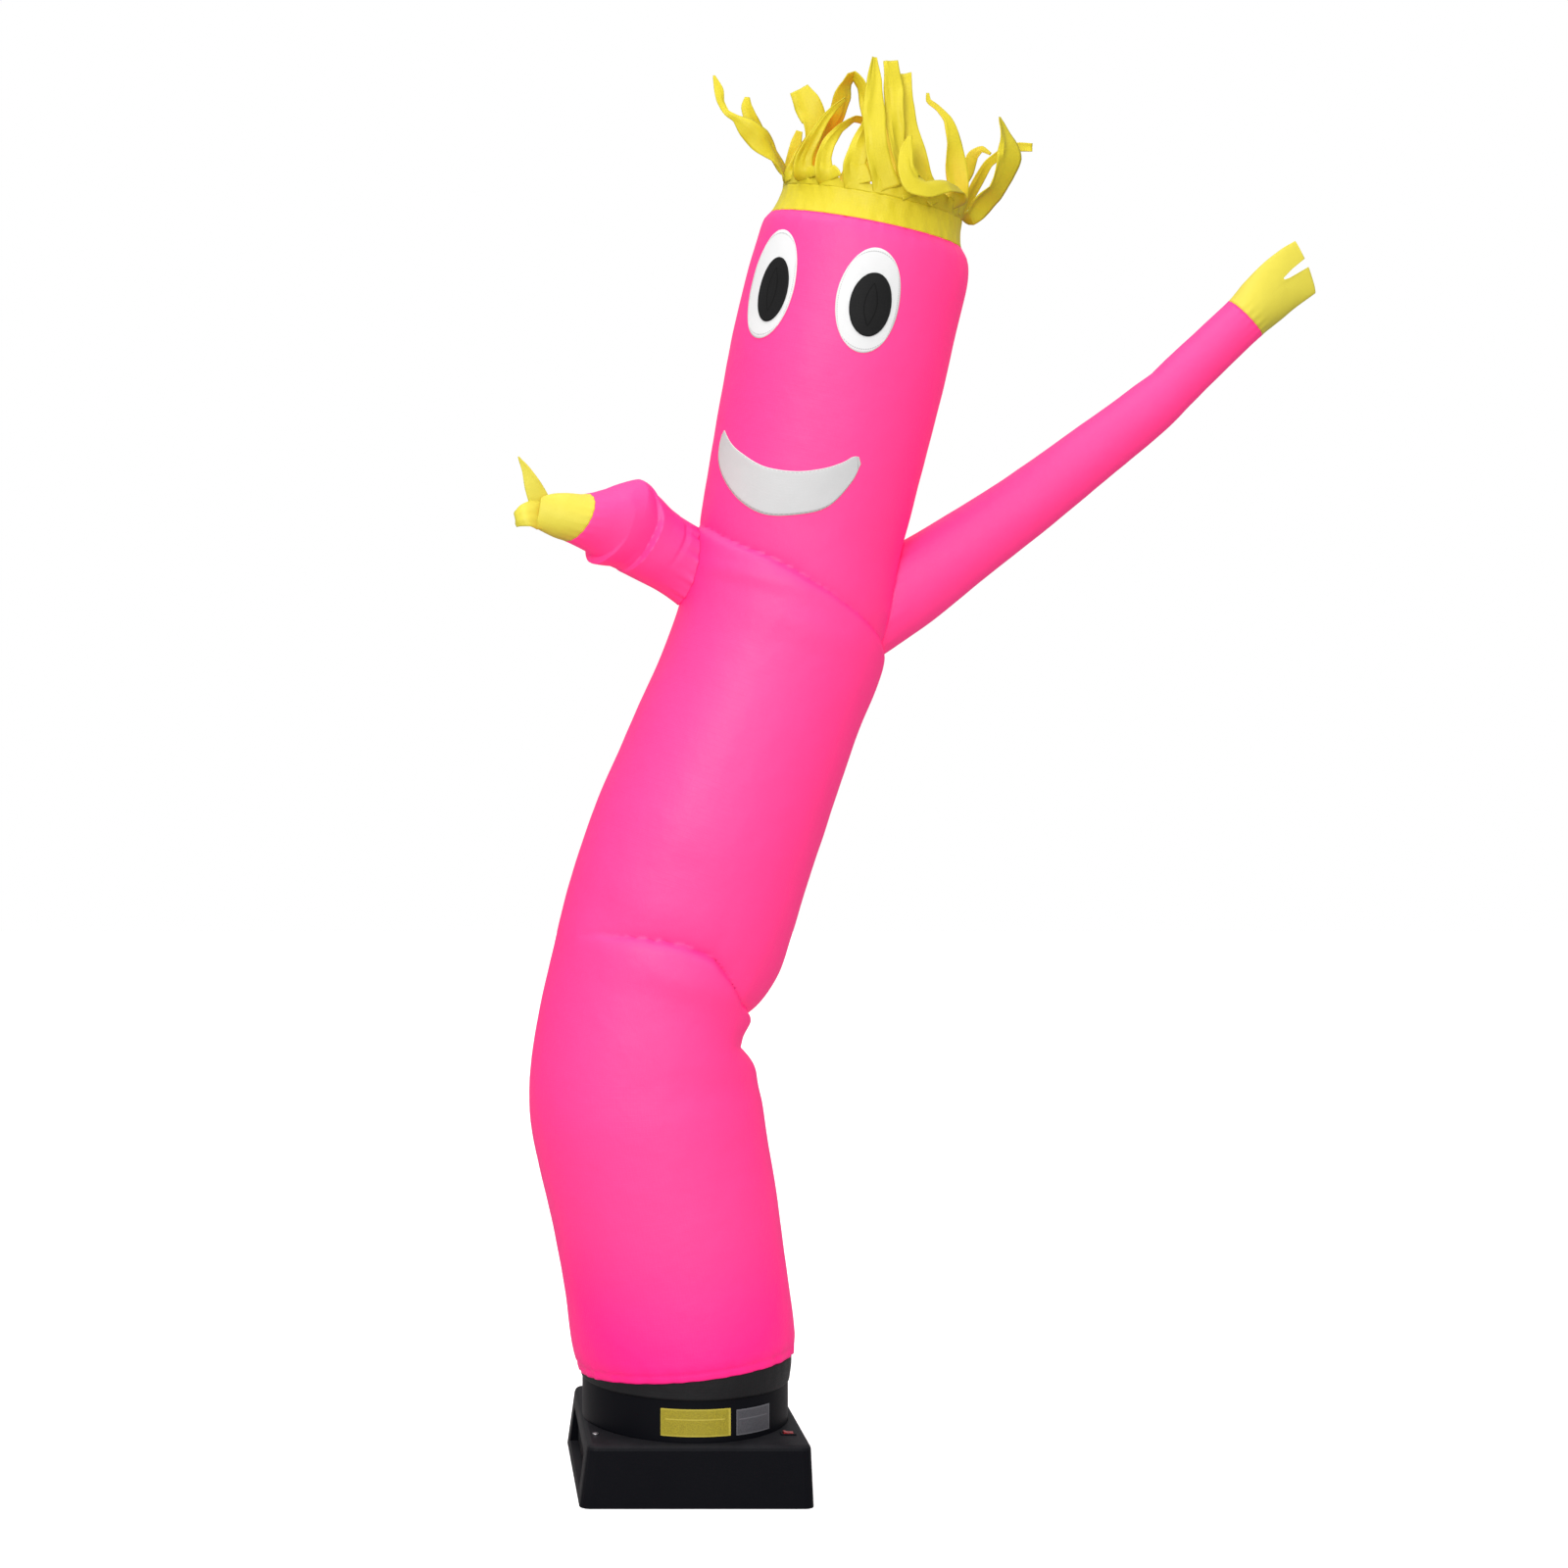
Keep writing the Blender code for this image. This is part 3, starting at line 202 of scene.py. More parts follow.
# Eye whites and pupils: turn and height of the middle on the head, half-width, half-height and tilt.
EYES = (
    # name, turn, z, half-width, half-height, tilt, pupil's turn, z, half-width, half-height
    ("left", -55.2, 1.7200, 0.0465, 0.0775, -3.0, -51.5, 1.7130, 0.0275, 0.0455),
    ("right", 1.2, 1.7225, 0.0445, 0.0725, -4.0, 2.7, 1.7180, 0.0290, 0.0440),
)
# The mouth's upper and lower edges: turn and height from its left tip to its right tip.
MOUTH_UPPER = (
    (-69.5, 1.5150), (-67.0, 1.5105), (-60.0, 1.4980), (-50.4, 1.4876), (-34.2, 1.4754), (-17.5, 1.4770),
    (-3.7, 1.4883), (6.0, 1.5025), (11.2, 1.5138), (14.4, 1.5160),
)
MOUTH_LOWER = (
    (-71.8, 1.5080), (-73.0, 1.4920), (-71.0, 1.4720), (-62.0, 1.4480), (-45.0, 1.4200), (-28.0, 1.4080),
    (-10.0, 1.4180), (4.0, 1.4380), (13.4, 1.4780), (16.4, 1.5070),
)

MOUTH_SPAN, MOUTH_DEPTH = 0.25, 0.07  # of its cloth

BAND_HEIGHT = 0.038
BAND_START = 0.0004
BAND_TOP_RADIUS = 0.131
BAND_ROWS = 20
BAND_CREASE = 0.0007
BAND_INSET = 0.0004  # how far the strip of the ribbons lies inside the band
STRIP_HEIGHT = 0.008
SKIRT_SLIT = 27  # turn, to the left of the front, of the deepest slit over the band
SKIRT_ROWS = 12
SKIRT_RISE, SKIRT_CRUMPLE, SKIRT_LEAN = 0.027, 0.0022, 0.06
RIBBON_PLACES = 20
RIBBON_ROOT = 0.0405  # width of a ribbon where it leaves the strip
RIBBON_SMOOTH = 0.45  # share of the smooth curve in a ribbon's route; the rest is straight
RIBBON_CUP = 0.18  # height of its fold, as a share of its width
RIBBON_SWAY = 11  # how far it turns from side to side, in degrees
# Cut ribbons of the hair: the place of each round the strip, and its route from there:
# millimetres right, back and up from the middle of the strip, its width, and its turn about
# its own length, in degrees.
RIBBONS = {
    15: (  # far left
        (-129, -6, 37, 28, 55), (-146, -16, 59, 28, 35), (-168, -24, 79, 34, 10), (-187, -28, 95, 28, 0),
        (-202, -28, 108, 10, -20), (-215, -26, 117, 8, -10), (-223, -22, 134, 13, 10),
        (-225, -20, 151, 14, 0), (-232, -18, 173, 3, 10),
    ),
    14: (  # left lobe
        (-121, 42, 48, 20, 55), (-141, 38, 81, 22, 30), (-161, 34, 104, 26, 10), (-173, 28, 125, 21, 0),
        (-179, 26, 142, 17, 0), (-178, 26, 156, 7, 10),
    ),
    17: (  # second
        (-114, -80, 21, 28, 0), (-112, -84, 36, 25, 0), (-103, -88, 56, 21, 5), (-93, -90, 74, 15, 10),
        (-83, -88, 90, 12, 20), (-70, -84, 105, 10, 30), (-54, -80, 119, 6, 30),
    ),
    16: (  # flag
        (-116, -36, 36, 24, 10), (-106, -30, 56, 21, 10), (-93, -30, 78, 20, 5), (-89, -30, 103, 35, 0),
        (-100, -28, 130, 37, 0), (-111, -26, 151, 30, 5),
    ),
    18: (  # third
        (-89, -108, 13, 27, 0), (-89, -108, 29, 23, 5), (-82, -106, 49, 19, 10), (-65, -100, 71, 12, 20),
        (-43, -92, 87, 11, 30), (-25, -84, 86, 11, 40),
    ),
    12: (  # loop
        (-72, 86, 61, 26, 0), (-70, 62, 88, 22, 0), (-63, 24, 106, 23, 5), (-53, -4, 122, 27, 10),
        (-47, -16, 143, 30, 25), (-42, -20, 160, 23, 65), (-34, -28, 170, 17, 88),
        (-24, -38, 154, 20, 70), (-17, -42, 131, 22, 25), (-14, -44, 104, 18, 0),
    ),
    19: (  # middle left
        (-50, -130, 12, 33, 5), (-43, -128, 37, 29, -6), (-33, -120, 62, 20, 8), (-25, -114, 87, 12, 0),
    ),
    0: (  # middle
        (-15, -138, 6, 31, 0), (-22, -140, 36, 31, -8), (-25, -136, 86, 30, 8), (-23, -132, 128, 22, -6),
        (-22, -128, 162, 7, 0),
    ),
    1: (  # middle right
        (23, -126, 2, 27, 0), (12, -128, 31, 24, 10), (5, -128, 86, 26, -8), (5, -122, 128, 26, 8),
        (2, -118, 160, 22, -4),
    ),
    2: (  # right of middle
        (51, -106, -3, 30, 0), (40, -112, 25, 30, 8), (32, -112, 63, 23, -6), (27, -108, 108, 18, 8),
        (26, -104, 148, 16, 0),
    ),
    3: (  # laid over
        (102, -96, -14, 21, 38), (77, -128, -18, 23, 40), (46, -145, -28, 27, 28),
        (25, -150, -20, 30, 10), (16, -152, 1, 24, -5), (17, -150, 25, 18, 5), (23, -148, 47, 4, 0),
    ),
    4: (  # right slender
        (115, -46, -6, 28, 15), (112, -50, 13, 29, 8), (109, -54, 34, 31, 5), (106, -56, 64, 24, 10),
        (97, -54, 97, 13, 10), (83, -52, 115, 8, 0), (70, -50, 126, 7, 0), (69, -48, 138, 4, 0),
    ),
    5: (  # far right
        (141, -4, -28, 28, 40), (155, -8, -15, 41, 58), (176, -12, 5, 43, 46), (187, -16, 31, 45, 38),
        (193, -18, 56, 46, 38), (191, -20, 76, 37, 43), (185, -20, 96, 21, 48), (179, -20, 113, 5, 38),
    ),
    6: (  # far right fold
        (144, 44, 0, 20, 40), (161, 44, 34, 17, 30), (178, 42, 64, 14, 10), (197, 40, 78, 14, 0),
        (220, 38, 87, 13, 0), (241, 36, 86, 13, 0),
    ),
    7: (  # right behind
        (116, 80, 10, 19, 12), (138, 86, 33, 19, 12), (157, 86, 64, 20, 0), (165, 84, 88, 16, 0),
        (177, 80, 97, 10, 10), (190, 76, 88, 4, 10),
    ),
    8: (  # back 1
        (83, 110, 35, 26, 0), (85, 114, 78, 24, 8), (79, 114, 119, 18, -8), (74, 110, 153, 12, 8),
    ),
    9: (  # back 2
        (48, 128, 46, 30, 0), (54, 134, 101, 27, 8), (53, 136, 152, 22, -8), (55, 132, 195, 12, 8),
    ),
    10: (  # back 3
        (8, 134, 57, 27, 0), (15, 140, 97, 24, -8), (24, 140, 148, 21, 8), (28, 136, 197, 13, -8),
    ),
    11: (  # back 4
        (-19, 128, 55, 24, 0), (-7, 132, 83, 22, 8), (5, 130, 115, 18, -8), (10, 128, 141, 10, 8),
    ),
    13: (  # back 6
        (-107, 76, 61, 22, 20), (-103, 76, 84, 20, 10), (-99, 76, 104, 17, -5), (-94, 76, 122, 10, 0),
    ),
}
# Strips that the left hand's cloth is cut into, in millimetres from the hand's end.
FINGERS = (
    ((6, 4, 8, 30, 0), (0, 0, 20, 30, 0), (-8, -4, 38, 22, 0), (-16, -6, 56, 13, 0), (-27, -8, 76, 1.5, 0)),
    (
        (8, 2, -8, 40, 0), (-6, -4, -8, 42, 5), (-18, -10, -10, 36, 15), (-27, -8, -14, 26, 40),
        (-29, -2, -18, 18, 70),
    ),
)
# Creases across the sleeves. Each has the place along the limb where it crosses each turn, how
# far it reaches before and after that line, its height, and the turn and spread of its middle.
RIGHT_CREASES = (
    (((0, 0.597), (180, 0.573)), 0.030, 0.030, -0.0022, 0, 60),
    (((0, 0.594), (180, 0.606)), 0.020, 0.020, -0.0006, 150, 50),
)
LEFT_CREASES = (
    (((0, 0.208), (180, 0.200)), 0.024, 0.036, 0.0120, 0, 44),
    (((0, 0.213), (180, 0.2125)), 0.034, 0.0020, 0.0105, 180, 44),
    (((0, 0.207), (62, 0.1745), (120, 0.166), (180, 0.162)), 0.004, 0.046, -0.0120, 95, 60),
    (((0, 0.130), (60, 0.118), (180, 0.110)), 0.010, 0.006, -0.0022, 55, 40),
)

# The studio: the floor, the light that the room gives from all round, from the front and from
# above, the lamps and the camera.
FLOOR_SIZE = 14.0
FLOOR_GLOW = 0.50  # only for the camera
FLOOR_UNSEEN = 0.4  # how pale the floor is to light that doesn't come from the camera
ROOM_ALL = 0.28
ROOM_FRONT = 0.66
ROOM_TOP = 1.0
LAMPS = (
    # name, place, what it faces, size, watts
    ("key", (-1.3, -3.3, 2.4), (0.1, 0, 1.2), 1.0, 62),
    ("front", (0.5, -3.8, 0.9), (0.1, 0, 1.0), 1.4, 16),
    ("top", (-0.4, -0.6, 4.0), (0.1, 0, 0.8), 1.8, 26),
)
CAMERA_PLACE = (-0.35, -3.243, 0.993)
CAMERA_LENS = dict(sensor_width=36.0, lens=49.95, shift_x=0.2131, shift_y=0.0144, clip_end=60)

# The blower's outlet and labels, in metres, and the dark, light and edge tones of a label.
LABEL_EDGES = dict(yellow=(-0.052, 0.0495, 0.0975, 0.1365), grey=(0.0586, 0.1103, 0.0965, 0.1330))
LABEL_TONES = ((0.45, 0.0), (1.75, 0.0), (1.9, 0.05))
OUTLET_RADIUS = 0.15225
OUTLET_WALL = 0.0035
OUTLET_HEIGHTS = (0.0885, 0.2148)

CUFF = (
    # x, z, outer radius
    (0.0000, 0.1490, 0.1543),
    (0.0008, 0.1600, 0.1550),
    (0.0012, 0.1720, 0.1558),
    (0.0010, 0.1860, 0.1560),
)
CUFF_ROWS = 16

# Materials: where a thicker thread starts in its cell, the depth of the nylon's relief, the half-width of a
# lens seam in metres, and the grey of the dust and painted highlight on faces that look up.
THREAD_EDGE = 0.42
NYLON_BUMP = 0.004
LENS_LINE = 0.0009
DUST_AND_HIGHLIGHT_GREY = (0.16, 0.16, 0.17)


# Settings that a user would change


def length_property(name, description, default):
    return bpy.props.FloatProperty(
        name=name, description=description, default=default, min=0.0001, max=0.01, unit="LENGTH"
    )


class DancerSizes(bpy.types.PropertyGroup):
    cloth: length_property("Cloth", "Thickness of the nylon", 0.0016)
    patch: length_property("Patch", "Thickness of the sewn-on face pieces", 0.0010)
    lay: length_property("Lay", "How far a patch lies over the cloth under it", 0.0005)
    wrinkle: length_property("Wrinkles", "Height of the soft wrinkles in the blown-up cloth", 0.0010)
    light: bpy.props.FloatProperty(name="Light", description="Strength of the studio light", default=1.0)


def colour_property(name, description, default):
    return bpy.props.FloatVectorProperty(
        name=name, description=description, default=default, subtype="COLOR", size=3, min=0.0, max=1.0
    )


class DancerColours(bpy.types.PropertyGroup):
    pink: colour_property("Pink", "Colour of the body and the arms", (1.0, 0.048, 0.245))
    # Painted shade: this deeper pink is mixed in where the body turns away from the view and over the hem.
    deep_pink: colour_property("Deep pink", "Colour of the body where it turns away", (1.0, 0.014, 0.225))
    yellow: colour_property("Yellow", "Colour of the hair", (0.64, 0.53, 0.016))
    # Painted shade: this olive is mixed into the hair's yellow where the ribbons turn away from the view.
    painted_shade_olive: colour_property("Olive", "Colour of the hair where it turns away", (0.42, 0.35, 0.010))
    pale_yellow: colour_property("Pale yellow", "Colour of the hands", (0.66, 0.57, 0.052))
    white: colour_property("White", "Colour of the eyes", (0.74, 0.74, 0.74))
    grey_white: colour_property("Grey white", "Colour of the mouth", (0.57, 0.57, 0.57))
    black: colour_property("Black", "Colour of the pupils", (0.0085, 0.0085, 0.0088))
    cuff: colour_property("Cuff", "Colour of the cuff under the hem", (0.004, 0.004, 0.005))
    plastic: colour_property("Plastic", "Colour of the blower", (0.0035, 0.0037, 0.0055))
    label_yellow: colour_property("Yellow label", "Colour of the front label", (0.30, 0.245, 0.010))
    label_grey: colour_property("Grey label", "Colour of the side label", (0.062, 0.061, 0.070))
    red: colour_property("Switch", "Colour of the rocker", (0.28, 0.006, 0.012))


# Curves, sheets and tubes


def smooth_between(keys, rows, at):
    """The row of values at a place between rows, on a curve that keeps its slope at each row."""
    last = len(keys) - 1
    at = min(max(at, keys[0]), keys[-1])
    i = 0
    while i < last - 1 and keys[i + 1] <= at:
        i += 1
    step = keys[i + 1] - keys[i]
    t = (at - keys[i]) / step

    def slope(k, column):
        low, high = max(k - 1, 0), min(k + 1, last)
        return (rows[high][column] - rows[low][column]) / (keys[high] - keys[low]) * step

    h = (2 * t**3 - 3 * t**2 + 1, t**3 - 2 * t**2 + t, 3 * t**2 - 2 * t**3, t**3 - t**2)
    return [
        rows[i][c] * h[0] + slope(i, c) * h[1] + rows[i + 1][c] * h[2] + slope(i + 1, c) * h[3]
        for c in range(len(rows[0]))
    ]


def straight_between(rows, at):
    """The last columns of a table at a value of its first column, on straight lines."""
    if at <= rows[0][0]:
        return rows[0][1:]
    for low, high in zip(rows, rows[1:]):
        if at <= high[0]:
            t = (at - low[0]) / (high[0] - low[0])
            return tuple(a + (b - a) * t for a, b in zip(low[1:], high[1:]))
    return rows[-1][1:]


BODY_HEIGHTS = [row[2] for row in BODY]


@lru_cache(maxsize=8192)
def body_section(z):
    """The middle of the body's cross-section at a height, its up, right and back, and its radius."""
    x, y, z_mid, lean, nod, radius = smooth_between(BODY_HEIGHTS, BODY, z)
    lean, nod = radians(lean), radians(nod)
    up = Vector((sin(lean) * cos(nod), -sin(nod), cos(lean) * cos(nod)))
    right = Vector((0, 1, 0)).cross(up).normalized()
    return Vector((x, y, z_mid)), up, right, up.cross(right), radius


def outward_at(turn, right, back):
    """The direction out of a cross-section: turn is in degrees from the front, positive to the right."""
    angle = radians(turn)
    return sin(angle) * right - cos(angle) * back


def turn_from(turn, middle):
    """How far a turn is from another, from -180 to 180 degrees."""
    return (turn - middle + 180) % 360 - 180


def fold_depth(fold, turn, z):
    """How far a fold draws the cloth in: deepest on its line, which stays crisp."""
    rows = fold["rows"]
    turn = (turn - rows[0][0]) % 360 + rows[0][0]
    if turn >= rows[-1][0]:
        return 0.0
    fold_z, depth = straight_between(rows, turn)
    away = z - fold_z + 0.0004 * sin(turn * 0.31)
    if away > 0:
        soft, crisp = exp(-away / fold["above"]), exp(-away / FOLD_CRISP_REACH)
        return depth * ((1 - FOLD_CRISP) * soft + FOLD_CRISP * crisp)
    return depth * exp(away / fold["below"])


def swell_height(turn, z):
    """How far the wide soft forms stand out at a place."""
    total = 0.0
    for mid_turn, mid_z, spread_turn, spread_z, height in BODY_SWELLS:
        off = turn_from(turn, mid_turn)
        total += height * exp(-((off / spread_turn) ** 2) - ((z - mid_z) / spread_z) ** 2)
    return total


def soft_wrinkles(place, height):
    """Wide and narrow dents of blown-up nylon."""
    wide = noise.noise(place * WIDE_DENTS)
    narrow = noise.noise(place * NARROW_DENTS + Vector((7, 3, 1)))
    return height * (0.8 * wide + 0.35 * narrow)


def hem_gathers(turn, z):
    """Small upright puckers along the hem and the groove of its stitches."""
    over = z - BODY_HEIGHTS[0]
    angle = radians(turn)
    puckers = sin(angle * 29 + 1.3 * sin(angle * 5)) + 0.6 * sin(angle * 47 + 2)
    fade = exp(-((over / 0.020) ** 2))
    groove = HEM_GROOVE * exp(-(((over - HEM_LINE) / 0.0022) ** 2))
    droop = HEM_DROOP * exp(-((over / 0.030) ** 2)) * (0.5 - 0.5 * cos(angle * 3 + 0.6))
    return HEM_PUCKER * puckers * fade - groove - droop


def crown_gathers(turn, z):
    """Short puckers of the cloth under the seam with the hair band."""
    under = BODY_HEIGHTS[-1] - z
    angle = radians(turn)
    puckers = sin(angle * 37 + 1.7 * sin(angle * 4)) + 0.7 * sin(angle * 61 + 1)
    return CROWN_PUCKER * puckers * exp(-((under / 0.022) ** 2))


def body_point(turn, z, lift=0.0, wrinkle=0.001):
    """A point on the body's cloth."""
    middle, _, right, back, radius = body_section(z)
    outward = outward_at(turn, right, back)
    radius += lift + swell_height(turn, z) - sum(fold_depth(fold, turn, z) for fold in FOLDS)
    radius += hem_gathers(turn, z) + crown_gathers(turn, z)
    radius += soft_wrinkles(middle + outward * radius, wrinkle)
    return middle + radius * outward


def body_clearance(place):
    """How far a point lies outside the body's cloth."""
    low, high = BODY_HEIGHTS[0], BODY_HEIGHTS[-1]
    for _ in range(30):
        z = (low + high) / 2
        middle, up, *_ = body_section(z)
        if (place - middle).dot(up) > 0:
            low = z
        else:
            high = z
    middle, _, right, back, _ = body_section(z)
    offset = place - middle
    turn = degrees(atan2(offset.dot(right), -offset.dot(back)))
    return (place - body_point(turn, z)).dot(offset.normalized())


def ring_heights():
    """The heights of the body's rings, closer together at the folds."""
    heights, z = [], BODY_HEIGHTS[0]
    for top, step in BODY_RINGS:
        top = min(top, BODY_HEIGHTS[-1])
        count = max(1, round((top - z) / step))
        heights += [z + (top - z) * i / count for i in range(count)]
        z = top
    return heights + [BODY_HEIGHTS[-1]]


def flat_grid(across, along, flat_place):
    """A grid from -1 to 1 both ways. Its UV map, from flat_place(a, b), is in the cloth's flat metres."""
    bm = bmesh.new()
    bmesh.ops.create_grid(bm, x_segments=across, y_segments=along, size=1.0, calc_uvs=True)
    uv = bm.loops.layers.uv.active or bm.loops.layers.uv.new("UVMap")
    for face in bm.faces:
        for loop in face.loops:
            loop[uv].uv = flat_place(loop.vert.co.x, loop.vert.co.y)
    return bm


def rolled_sheet(sides, rows, point, width, length):
    """A grid rolled into a tube: point(turn, row) places each corner."""
    bm = flat_grid(sides, rows - 1, lambda a, b: (a / 2 * width, (b + 1) / 2 * length))
    for v in bm.verts:
        v.co = point(v.co.x * 180.0, round((v.co.y + 1) / 2 * (rows - 1)))
    bmesh.ops.remove_doubles(bm, verts=bm.verts, dist=1e-5)
    bmesh.ops.recalc_face_normals(bm, faces=bm.faces)
    return bm


def laid_sheet(across, along, point, width_at, length):
    """A grid laid on a surface: point(a, b) places each corner, and width_at(b) is its width there."""
    bm = flat_grid(across, along, lambda a, b: (a / 2 * width_at(b), b / 2 * length))
    for v in bm.verts:
        v.co = point(v.co.x, v.co.y)
    return bm


def face_outward(bm, centre):
    """Turns an open sheet so that its faces look away from a point inside the object."""
    bmesh.ops.recalc_face_normals(bm, faces=bm.faces)
    face = max(bm.faces, key=lambda f: f.calc_area())
    if (face.calc_center_median() - centre).dot(face.normal) < 0:
        bmesh.ops.reverse_faces(bm, faces=bm.faces)


def joined(parts):
    """Several bmeshes as one."""
    whole = bmesh.new()
    whole.loops.layers.uv.new("UVMap")
    for part in parts:
        mesh = bpy.data.meshes.new("part")
        part.to_mesh(mesh)
        part.free()
        whole.from_mesh(mesh)
        bpy.data.meshes.remove(mesh)
    return whole


def put_object(name, data, place=(0, 0, 0)):
    obj = bpy.data.objects.new(name, data)
    obj.location = place
    bpy.context.scene.collection.objects.link(obj)
    return obj


def add_piece(name, bm, material, replaces, smooth_angle=50):
    """Puts a bmesh into the scene as a piece that rides on the dancer."""
    mesh = bpy.data.meshes.new(name)
    bm.to_mesh(mesh)
    bm.free()
    mesh.shade_smooth()
    mesh.set_sharp_from_angle(angle=radians(smooth_angle))
    obj = put_object(name, mesh)
    mesh.materials.append(material)
    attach(obj, ROOT)
    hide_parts(*replaces)
    return obj


def thicken(obj, thickness, offset=-1.0):
    modifier = obj.modifiers.new("cloth", "SOLIDIFY")
    modifier.thickness = thickness
    modifier.offset = offset
    modifier.use_even_offset = False


def limb_stations(rows):
    """How far along the limb each of its rows is."""
    along = [0.0]
    for a, b in zip(rows, rows[1:]):
        along.append(along[-1] + (Vector(b[:3]) - Vector(a[:3])).length)
    return along


def limb_frame(rows, along, at):
    """The middle of a limb's cross-section, its forward, upper and front, and its half-sizes."""
    x, y, z, heading, towards, wide, deep = smooth_between(along, rows, at)
    heading, towards = radians(heading), radians(towards)
    forward = Vector((cos(heading) * cos(towards), -sin(towards), sin(heading) * cos(towards)))
    side = Vector((-sin(heading), 0, cos(heading)))
    if side.z < 0:
        side = -side
    front = forward.cross(side).normalized()
    if front.y > 0:
        front = -front
    return Vector((x, y, z)), forward, side, front, wide, deep


def limb_point(rows, along, turn, at, lift=0.0):
    """A point on a limb's cloth; turn 0 is at its upper side and 90 at its front."""
    middle, _, side, front, wide, deep = limb_frame(rows, along, at)
    angle = radians(turn)
    outward = cos(angle) * side + sin(angle) * front
    return middle + (wide + lift) * cos(angle) * side + (deep + lift) * sin(angle) * front, outward


# Materials


def connect(socket, value):
    """Links an input to an output, or sets it to a number or a colour."""
    if isinstance(value, bpy.types.NodeSocket):
        socket.id_data.links.new(value, socket)
    elif socket.type == "RGBA":
        socket.default_value = (*value[:3], 1)
    else:
        socket.default_value = value


def set_inputs(made, inputs):
    """Connects a node's inputs by name or number."""
    for key, value in dict(inputs).items():
        connect(made.inputs[key], value)


def node(tree, kind, inputs=(), **settings):
    """A new node with its settings, and with its inputs connected by name or number."""
    made = tree.nodes.new(kind)
    made.location = (-200 * (len(tree.nodes) % 12), -300 * (len(tree.nodes) // 12))
    for name, value in settings.items():
        setattr(made, name, value)
    set_inputs(made, inputs)
    return made


def maths(operation, *values, clamp=False):
    """The result of a maths node on outputs and numbers, in the tree of the outputs."""
    tree = next(value.id_data for value in values if isinstance(value, bpy.types.NodeSocket))
    made = node(tree, "ShaderNodeMath", enumerate(values), operation=operation, use_clamp=clamp)
    return made.outputs[0]


add, subtract, multiply, divide, power, larger, size_of, fraction, is_less, is_more = (
    partial(maths, name)
    for name in (
        "ADD", "SUBTRACT", "MULTIPLY", "DIVIDE", "POWER", "MAXIMUM", "ABSOLUTE", "FRACT", "LESS_THAN",
        "GREATER_THAN",
    )
)


def mixed(share, a, b, kind="RGBA"):
    """a where share is 0, and b where it is 1."""
    made = node(share.id_data, "ShaderNodeMix", {"Factor": share, "A": a, "B": b}, data_type=kind)
    return made.outputs["Result"]


def speckle(place, scale, detail, roughness=0.5):
    """Noise at a place. scale is its patches per metre, and detail adds finer ones."""
    given = {"Vector": place, "Scale": scale, "Detail": detail, "Roughness": roughness}
    return node(place.id_data, "ShaderNodeTexNoise", given).outputs["Fac"]


def coordinate(tree, kind="Object"):
    return node(tree, "ShaderNodeTexCoord").outputs[kind]


def axes(vector):
    """The X, Y and Z outputs of a vector."""
    return node(vector.id_data, "ShaderNodeSeparateXYZ", {0: vector}).outputs


def flat_axes(tree):
    """The place on a sheet's own cloth, in metres."""
    return axes(node(tree, "ShaderNodeUVMap").outputs[0])


def group(name, inputs, fill):
    """A shader node group, made once. fill(tree, given) returns its outputs by name."""
    if name in bpy.data.node_groups:
        return bpy.data.node_groups[name]
    tree = bpy.data.node_groups.new(name, "ShaderNodeTree")
    for label, value in inputs.items():
        kind = "NodeSocketFloat" if isinstance(value, float) else "NodeSocketColor"
        tree.interface.new_socket(label, in_out="INPUT", socket_type=kind).default_value = value
    made = fill(tree, tree.nodes.new("NodeGroupInput").outputs)
    for label in made:
        kind = "NodeSocketColor" if label == "Colour" else "NodeSocketFloat"
        tree.interface.new_socket(label, in_out="OUTPUT", socket_type=kind)
    set_inputs(tree.nodes.new("NodeGroupOutput"), made)
    return tree


def nylon_group():
    """Woven nylon: a fine grid of thicker threads, slight unevenness of dye, and soft crumples."""

    def fill(tree, given):
        flat = flat_axes(tree)
        threads = []
        for axis in ("X", "Y"):
            off = size_of(subtract(fraction(divide(flat[axis], given["Thread spacing"])), 0.5))
            threads.append(multiply(subtract(off, THREAD_EDGE, clamp=True), 12.0, clamp=True))
        grid = larger(*threads)
        place = coordinate(tree)
        fine = speckle(place, 420.0, 2.0)
        uneven = add(subtract(speckle(place, 14.0, 4.0), 0.5), multiply(subtract(fine, 0.5), 0.7))
        shade = multiply(subtract(uneven, multiply(grid, 0.25)), given["Unevenness"])
        tint = node(tree, "ShaderNodeHueSaturation", {"Color": given["Colour"], "Value": add(shade, 1.0)})
        height = multiply(speckle(place, 34.0, 3.0, 0.45), given["Crumples"])
        height = add(add(height, multiply(grid, 0.05)), multiply(fine, 0.04))
        return {"Colour": tint.outputs[0], "Roughness": add(multiply(fine, 0.16), 0.42), "Height": height}

    inputs = {"Colour": (1, 1, 1, 1), "Thread spacing": 0.0045, "Crumples": 0.5, "Unevenness": 0.05}
    return group("Nylon", inputs, fill)


